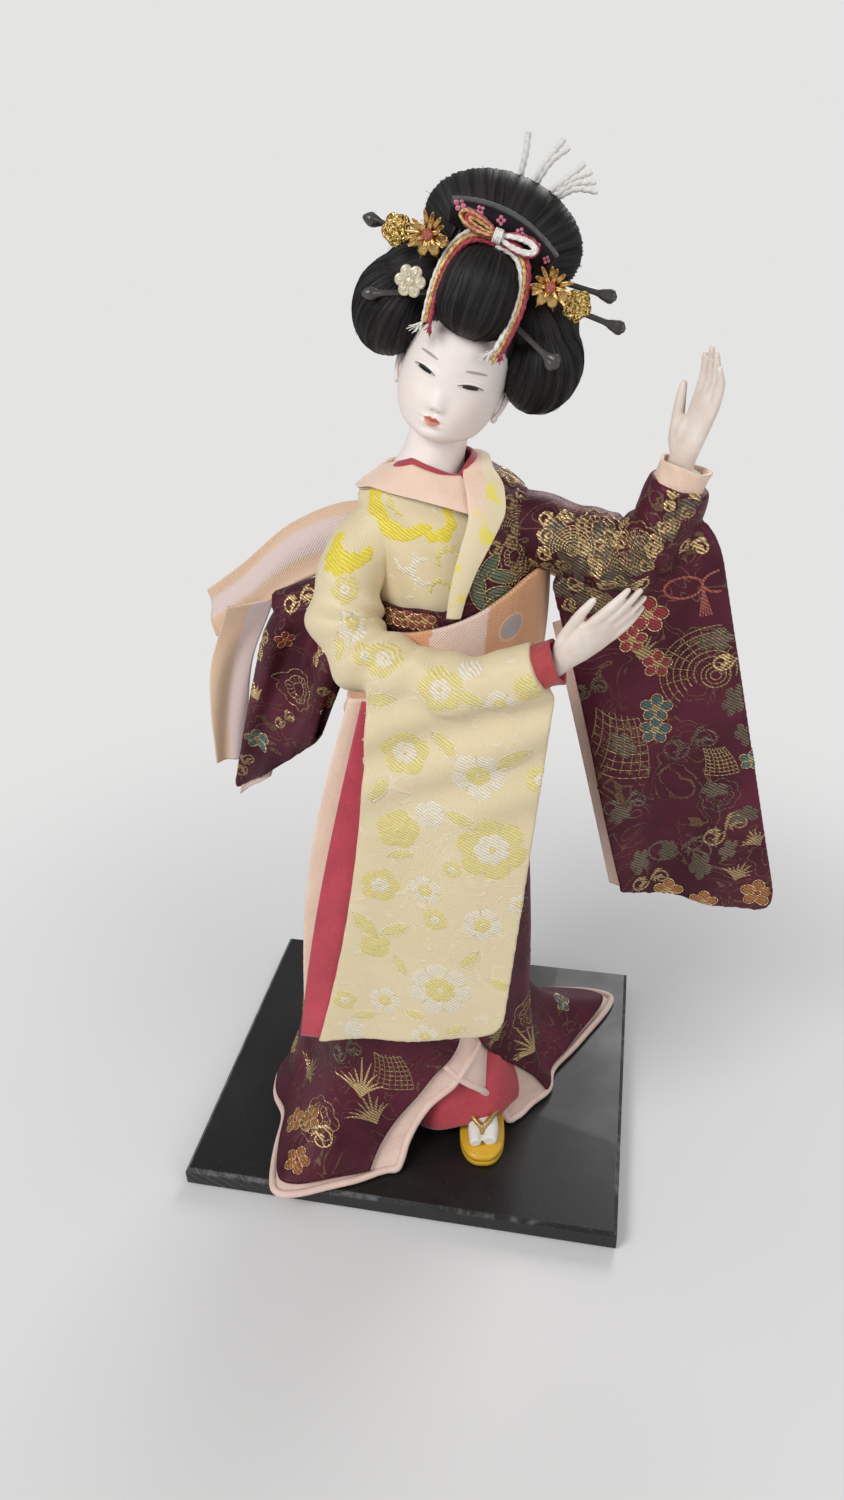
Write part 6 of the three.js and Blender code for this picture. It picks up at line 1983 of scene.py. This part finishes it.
def arch_line(inset, count=49):
    share = np.linspace(1, -1, count)
    return points_at((14.4 - inset) * share, 8.6 - inset + 3.3 * (1 - share ** 2))


def comb_plate():
    rings = []
    for y, inset in ((-1.2, 0.7), (-1.0, 0.25), (-0.6, 0), (0.6, 0), (1.0, 0.25), (1.2, 0.7)):
        low = np.array([[-12.6 + inset * 0.5, 3.4], [12.6 - inset * 0.5, 3.4]])
        edge = np.concatenate([low, arch_line(inset)])
        rings.append(points_at(edge[:, 0], y, edge[:, 1]))
    return rings_form(rings)


teeth = [tube_form([(x, 0, 4.2), (x, 0, 2.2), (x, 0, 0.2)], [0.62, 0.6, 0.35], 8, 8, (1, 0, 0))
         for x in np.linspace(-10.6, 10.6, 16)]
edge = arch_line(0.35, 41)
band_stops = points_at(edge[:, 0], -0.75, edge[:, 1])
dots = []
for x, z, size in ((-11.9, 8.0, 0.9), (-7.0, 9.0, 0.62), (-1.6, 9.2, 0.66), (3.6, 9.0, 0.62),
                   (8.4, 8.0, 0.66), (12.0, 6.6, 0.55)):
    for k in range(4):
        a = math.pi / 4 + k * math.pi / 2 + 0.2 * x
        dots.append(lump_form((x + 1.05 * size * math.cos(a), -1.2, z + 1.05 * size * math.sin(a)),
                              (0.72 * size, 0.14, 0.72 * size), 12, 6))
for name, form, finish, nodes in (
        ("comb_lacquered", together(comb_plate(), *teeth), comb_lacquer, ["comb"]),
        ("comb_arch_band", tube_form(band_stops, [0.62, 0.72, 0.62], 12, 90), grey_band, []),
        ("comb_painted_blossoms", together(*dots), pink_paint, [])):
    head_piece(name, form, finish, comb_frame, "comb", "black_lacquer", *nodes)

# Hairpins
# Five dark pins pushed into the hair. One has a drop at its end, two have flat flared ends, and
# the two in front end in a bulb and in a little fan.
pin_horn = mottled("pin_horn", (0.012, 0.011, 0.011), (0.085, 0.075, 0.068), 320, 4,
                   rough=(0.35, 0.18), Coat_Weight=0.4, Coat_Roughness=0.2)
pin_ends = {"drop": [0.7, 0.72, 0.95, 1.45, 1.75, 1.7, 1.2, 0.35],
            "bulb": [0.7, 0.74, 0.8, 1.1, 1.5, 1.55, 1.1, 0.3]}
for kind, wide in (("flat", 1.7), ("fan", 2.3)):
    pin_ends[kind] = [0.72, 0.75, 0.9, 1.25, wide * 0.85, wide, wide * 0.92, 0.4]


def flattened(around, t):
    thin = 0.62 * np.abs(np.sin(around)) * blend_step(t, 0.15, 0.6)
    return 1 - thin + 0.05 * np.cos(6 * around) * t


for name, tip, end, kind in (
        ("upper_pin_right", (-8, 6, 29.5), (-34, 5, 28), "drop"),
        ("upper_pin_left", (7, 6, 30.5), (31, 5, 32.8), "flat"),
        ("lower_pin_left", (9, 2.5, 27), (35.5, -1, 27.6), "flat"),
        ("front_pin_right", (-6, -6, 22), (-27, -10, 14), "bulb"),
        ("front_pin_left", (4, -6, 22), (23, -11, 15.5), "fan")):
    tip, end = np.array(tip, float), np.array(end, float)
    out = unit(end - tip)
    forms = [tube_form([tip, tip + out * 2, (tip + end) / 2, end - out * 3],
                       [0.25, 0.62, 0.72, 0.72, 0.78], 14, 40, (0, 0, 1))]
    near, far = end - out * 6, end + out * 0.5
    sides, steps, flare = (18, 30, None) if kind in ("drop", "bulb") else (22, 34, flattened)
    forms.append(tube_form([near, near + out * 3, far], pin_ends[kind], sides, steps, (0, 0, 1),
                           flare))
    head_piece(f"{name}_turned", together(*forms), pin_horn, head_frame, name, "dark_pin", name)

# Metal flowers
# Two flowers cut from thin gilt sheet with bent petals, a copper bead and a crushed gilt leaf
# at the outer side, and one small stamped flower of silvered paper. Each is on a pin.
gilt = mottled("gilt_sheet", (0.44, 0.245, 0.075), (0.86, 0.60, 0.24), 380, 4,
               rough=(0.25, 0.22), Metallic=1.0)
gilt.raise_by(gilt.noise(gilt.object_place(), 900, detail=2), 0.25, 0.0003)
glitter = mottled("gilt_glitter", (0.34, 0.17, 0.03), (0.95, 0.72, 0.28), 1500, 1,
                  bump=(1.0, 0.0012), rough=(0.3, 0.15), sharp=(0.35, 0.65), Metallic=1.0)
copper_bead = mottled("copper_bead", (0.32, 0.07, 0.05), (0.56, 0.17, 0.12), 500, 3,
                      Metallic=0.4, Roughness=0.35)
silvered = mottled("silvered_paper", (0.62, 0.52, 0.30), (0.90, 0.86, 0.74), 300, 4,
                   Metallic=0.55, Roughness=0.4)
silvered.raise_by(silvered.noise(silvered.object_place(), 1100, detail=2), 0.3, 0.0003)


def petal_form(middle, angle, length, width, lift, curl, pointed):
    """A bent petal of sheet metal, standing out from the flower's middle toward -Y."""
    c, s = math.cos(angle), math.sin(angle)
    out, sideways = np.array([c, 0, s]), np.array([-s, 0, c])
    ahead = np.array([0, -1.0, 0])
    path = [middle + out * length * far + ahead * (lift * up + curl * bent)
            for far, up, bent in ((0.5 / length, 0, 0), (0.45, 1, 0), (0.8, 1, 0.4), (1, 1, 1))]
    tip = 0.12 if pointed else 0.75
    radii = np.array([0.4, 0.7, 1.0, 1.0, 0.85, tip, tip * 0.35]) * width / 2
    return tube_form(path, radii, 12, 18, sideways,
                     lambda around, t: 0.22 + 0.78 * np.abs(np.cos(around)) ** 0.7)


def gold_flower(name, place, way, spin):
    place = np.array(place, float)
    petals = []
    chance = np.random.default_rng(int(20 + place[0]))
    for k in range(10):
        a = spin + math.radians(-30 + 240 * k / 9 + chance.uniform(-6, 6))
        length, width = chance.uniform(4.2, 5.4), chance.uniform(1.1, 1.45)
        petals.append(petal_form(place + (0, -0.8, 0), a, length, width, chance.uniform(0.9, 2.2),
                                 1.7, False))
    for k in range(6):
        a = spin + math.radians(10 + 60 * k + chance.uniform(-9, 9))
        petals.append(petal_form(place + (0, -1.5, 0), a, chance.uniform(2.6, 3.4), 1.15, 2.0, 1.2,
                                 False))
    for k in range(4):
        a = spin + math.radians(204 + 43 * k)
        petals.append(petal_form(place, a, 6.1, 2.8, 0.4, -1.2, True))
    stem = tube_form([place + (0, y, 0) for y in (-1, 5, 12)], [0.7, 0.66, 0.3], 12, 12)
    arm_end = place + (way * 7.6, 1.0, -2)
    arm = tube_form([place, place + (way * 4, 0.7, -1), arm_end], [0.55, 0.5, 0.5], 10, 12)
    turn = full_turn(60)
    rings = []
    for share, y in ((0.05, -0.9), (0.3, -0.95), (0.6, -0.7), (0.85, -0.35), (1.0, 0), (0.96, 0.3),
                     (0.4, 0.35), (0.05, 0.35)):
        radius = 3.7 * share * (0.84 + 0.16 * np.abs(np.cos(2.5 * turn + spin)))
        crumple = 0.22 * np.cos(7 * turn + 5 * share)
        rings.append(np.stack([arm_end[0] + radius * np.cos(turn), arm_end[1] + y + crumple * share,
                               arm_end[2] + 1.05 * radius * np.sin(turn)], 1))
    beads = [lump_form(place + (0, -3.4, 0), (1.35, 1.25, 1.35))]
    for k in (0.5, 2.6, 4.7):
        beads.append(lump_form(place + (0.75 * math.cos(k), -4.2, 0.75 * math.sin(k)),
                               (0.5, 0.5, 0.5), 10, 6))
    for word, form, finish, nodes in (
            ("petals", together(*petals, stem, arm), gilt, [name]),
            ("crushed_leaf", rings_form(rings), glitter, []),
            ("bead", together(*beads), copper_bead, [])):
        head_piece(f"{name}_{word}", form, finish, head_frame, name, "gold_trim", *nodes)


gold_flower("gold_flower_right", (-16.5, -9.5, 31.8), -1, 0.35)
gold_flower("gold_flower_left", (14.5, -9.5, 31.5), 1, 0.15)
silver_spot = np.array((-17.2, -10, 20.8))
silver_forms = [lump_form(silver_spot + (0, -0.9, 0), (2.9, 0.5, 2.9)),
                lump_form(silver_spot + (0, -1.5, 0), (1.0, 0.6, 1.0), 16, 8),
                tube_form([silver_spot, silver_spot + (0, 5, 0), silver_spot + (0, 11.5, 0)],
                          [0.7, 0.66, 0.3], 12, 12)]
for k in range(6):
    a = k * math.pi / 3 + 0.2
    way = np.array([math.cos(a), 0, math.sin(a)])
    silver_forms.append(lump_form(silver_spot + way * 2.35 + (0, -0.9, 0), (1.5, 0.62, 1.5),
                                  20, 10))
    vein = [silver_spot + way * far + (0, y, 0)
            for far, y in ((1.3, -1.45), (2.2, -1.62), (3.1, -1.4))]
    silver_forms.append(tube_form(vein, [0.12, 0.2, 0.1], 8, 8))
    ring = [silver_spot + way * 2.35 + (1.02 * math.cos(b), -1.4, 1.02 * math.sin(b))
            for b in np.linspace(0, 2 * np.pi, 13)]
    silver_forms.append(tube_form(ring, [0.16, 0.16], 6, 30))
head_piece("silver_flower_stamped", together(*silver_forms), silvered, head_frame, "silver_flower",
           "silver_paper", "silver_flower")


# Hair braid and bow
# Red, gold and white silk cords laid side by side over the brow puff, with tufted ends, and
# tied at the top in a bow of one red leaf-shaped loop and one of doubled white cord.
red_cord, gold_braid, white_cord = (
    mottled(name, dark, light, 1300, 3, bump=(0.35, 0.0002), sharp=(0.3, 0.7), Roughness=0.5,
            Sheen_Weight=0.2, Metallic=metallic)
    for name, dark, light, metallic in (
        ("red_cord", (0.26, 0.012, 0.030), (0.52, 0.040, 0.075), 0.0),
        ("gold_braid", (0.36, 0.20, 0.05), (0.84, 0.58, 0.22), 0.5),
        ("white_cord", (0.66, 0.60, 0.54), (0.88, 0.85, 0.80), 0.0)))


def twisted(stops, radius, turns, steps=90, sides=12):
    """A cord of three strands laid round each other."""
    return tube_form(stops, [radius, radius], sides, steps, (0, -1, 0.2),
                     lambda around, t: 1 + 0.20 * np.cos(3 * around + 2 * np.pi * turns * t))


def arch_stops(lead, inset, first=0.0, last=1.0):
    a = np.pi * np.linspace(first, last, 40)
    c, s = np.cos(a), np.maximum(np.sin(a), 0)
    gather = 1 - 0.16 * (1 - s) ** 3
    x = -0.9 - (10.9 * gather - inset) * np.sign(c) * np.abs(c) ** 0.55
    return points_at(x, -13.2 + 5 * s + lead, 14 + (21.6 - inset) * s ** 0.8)


def tuft(middle, way, count, length, seed):
    """Loose thread ends at the end of a cord."""
    chance = np.random.default_rng(seed)
    middle, way = np.array(middle, float), unit(np.array(way, float))
    ends = []
    for _ in range(count):
        spread = chance.normal(0, 0.22, 3)
        far = middle + (way + spread) * length * chance.uniform(0.75, 1.1)
        half = middle + (way + spread * 0.5) * length * 0.5
        ends.append(tube_form([middle, half, far], [0.22, 0.2, 0.1], 6, 8))
    return together(*ends)


right_end, left_end = arch_stops(0, 0)[0], arch_stops(0, 0)[-1]
red_forms = [twisted(arch_stops(-1.0, 0.6, 0, 0.52), 0.56, 14),
             twisted(arch_stops(-0.3, -1.1, 0.5, 1), 0.62, 14),
             tuft(right_end + (0.8, -0.9, 0.6), (0.25, -0.25, -1), 24, 2.6, 1),
             tuft(left_end + (0.9, -0.3, 0.6), (0.1, -0.3, -1), 26, 2.6, 2)]
gold_forms = [twisted(arch_stops(-0.8, -0.4, 0, 0.52), 0.56, 16),
              twisted(arch_stops(-0.8, -0.2, 0.5, 1), 0.5, 16),
              tuft(left_end + (0.1, -0.8, 0.5), (-0.2, -0.35, -1), 14, 3.0, 5)]
white_forms = [twisted(arch_stops(0.3, -1.2, 0, 0.52), 0.5, 14),
               twisted(arch_stops(-1.1, 0.75, 0.5, 1), 0.58, 12),
               tuft(right_end + (-0.8, 0.0, 0.4), (-0.5, -0.35, -1), 22, 3.2, 3),
               tuft(left_end + (-0.9, -1.0, 0.4), (-0.6, -0.4, -1), 30, 3.4, 4)]
knot_place = np.array((-1.2, -9.8, 37))
bow_across = np.array((0, 0.42, 0.91))


def bow_loop(reach, wide, lean, drop, radius, turns):
    """A cord in a closed loop from the knot out to one side and back."""
    t = np.linspace(0, 2 * np.pi, 40)
    out = reach * 0.5 * (1 - np.cos(t))
    across = wide * np.sin(t) * np.sin(t / 2) ** 0.8
    stops = (knot_place + out[:, None] * np.array([[1, 0, lean]]) + across[:, None] * bow_across
             + np.array([[0, -0.4 + drop, 0]]) * np.sin(t / 2)[:, None])
    return twisted(stops, radius, turns, 70)


bow_red = [bow_loop(-9.6, 2.2, -0.16, 0.1, 0.48, 10), bow_loop(-8.4, 1.4, -0.16, -0.2, 0.45, 10),
           bow_loop(9.9, 2.5, 0.02, 0.5, 0.46, 10), lump_form(knot_place, (1.1, 1.1, 1.2))]
bow_gold = [bow_loop(-9.9, 1.9, -0.16, -0.5, 0.36, 12), bow_loop(-7.6, 0.7, -0.16, -0.3, 0.36, 12)]
bow_white = [bow_loop(9.6, 2.0, 0.02, -0.2, 0.42, 12), bow_loop(8.9, 1.3, 0.02, -0.1, 0.40, 12)]
for k in range(4):
    a = np.linspace(0, 2 * np.pi, 20)
    band = np.stack([knot_place[0] - 0.75 + 0.5 * k + 0 * a, knot_place[1] + 1.35 * np.sin(a),
                     knot_place[2] + 1.45 * np.cos(a)], 1)
    bow_white.append(tube_form(band, [0.3, 0.3], 8, 36, (1, 0, 0)))
for name, forms, finish, slot, nodes in (
        ("hair_braid_red", red_forms, red_cord, "red_braid", ["hair_braid"]),
        ("hair_braid_gold", gold_forms, gold_braid, "gold_trim", []),
        ("hair_braid_white", white_forms, white_cord, "white_cord", []),
        ("hair_bow_red", bow_red, red_cord, "red_braid", ["hair_bow"]),
        ("hair_bow_gold", bow_gold, gold_braid, "gold_trim", []),
        ("hair_bow_white", bow_white, white_cord, "white_cord", [])):
    head_piece(name, together(*forms), finish, head_frame, "head", slot, *nodes)

# Paper cords
# Twisted white paper cords bind the topknot. Their stiff ends stand up behind it: a single
# one, a pair and a fan of four.
paper_cord = mottled("paper_cord", (0.66, 0.64, 0.60), (0.80, 0.78, 0.74), 700, 2,
                     bump=(0.1, 0.0002), Roughness=0.7)


def two_ply(around, t):
    return 1 + 0.10 * np.cos(2 * around + 2 * np.pi * 5 * t)


for name, foot, tips in (
        ("hair_tie_one", (-1.4, 10, 50.4), [(-3.2, 9.5, 58.5)]),
        ("hair_tie_two", (2.2, 10, 50.2), [(5.4, 9, 60), (7.2, 9, 58.8)]),
        ("hair_tie_fan", (7.5, 10, 49.6),
         [(12, 9, 57), (14.4, 9, 56), (16.2, 9, 54.4), (17.4, 9, 52.6)])):
    foot = np.array(foot, float)
    forms = []
    for k, tip in enumerate(tips):
        tip = np.array(tip, float)
        bend = np.array([0.35 * math.cos(k + foot[0]), -0.3, 0.25])
        root = foot + (0.9 * (k - 0.5 * len(tips) + 0.5), 0.25 * (k % 2), -1.5)
        forms.append(tube_form([root, (foot + tip) / 2 + bend, tip], [0.74, 0.78, 0.72], 18, 90,
                               (0, -1, 0.2), two_ply))
    head_piece(f"{name}_twisted", together(*forms), paper_cord, head_frame, "head", "white_cord",
               name)
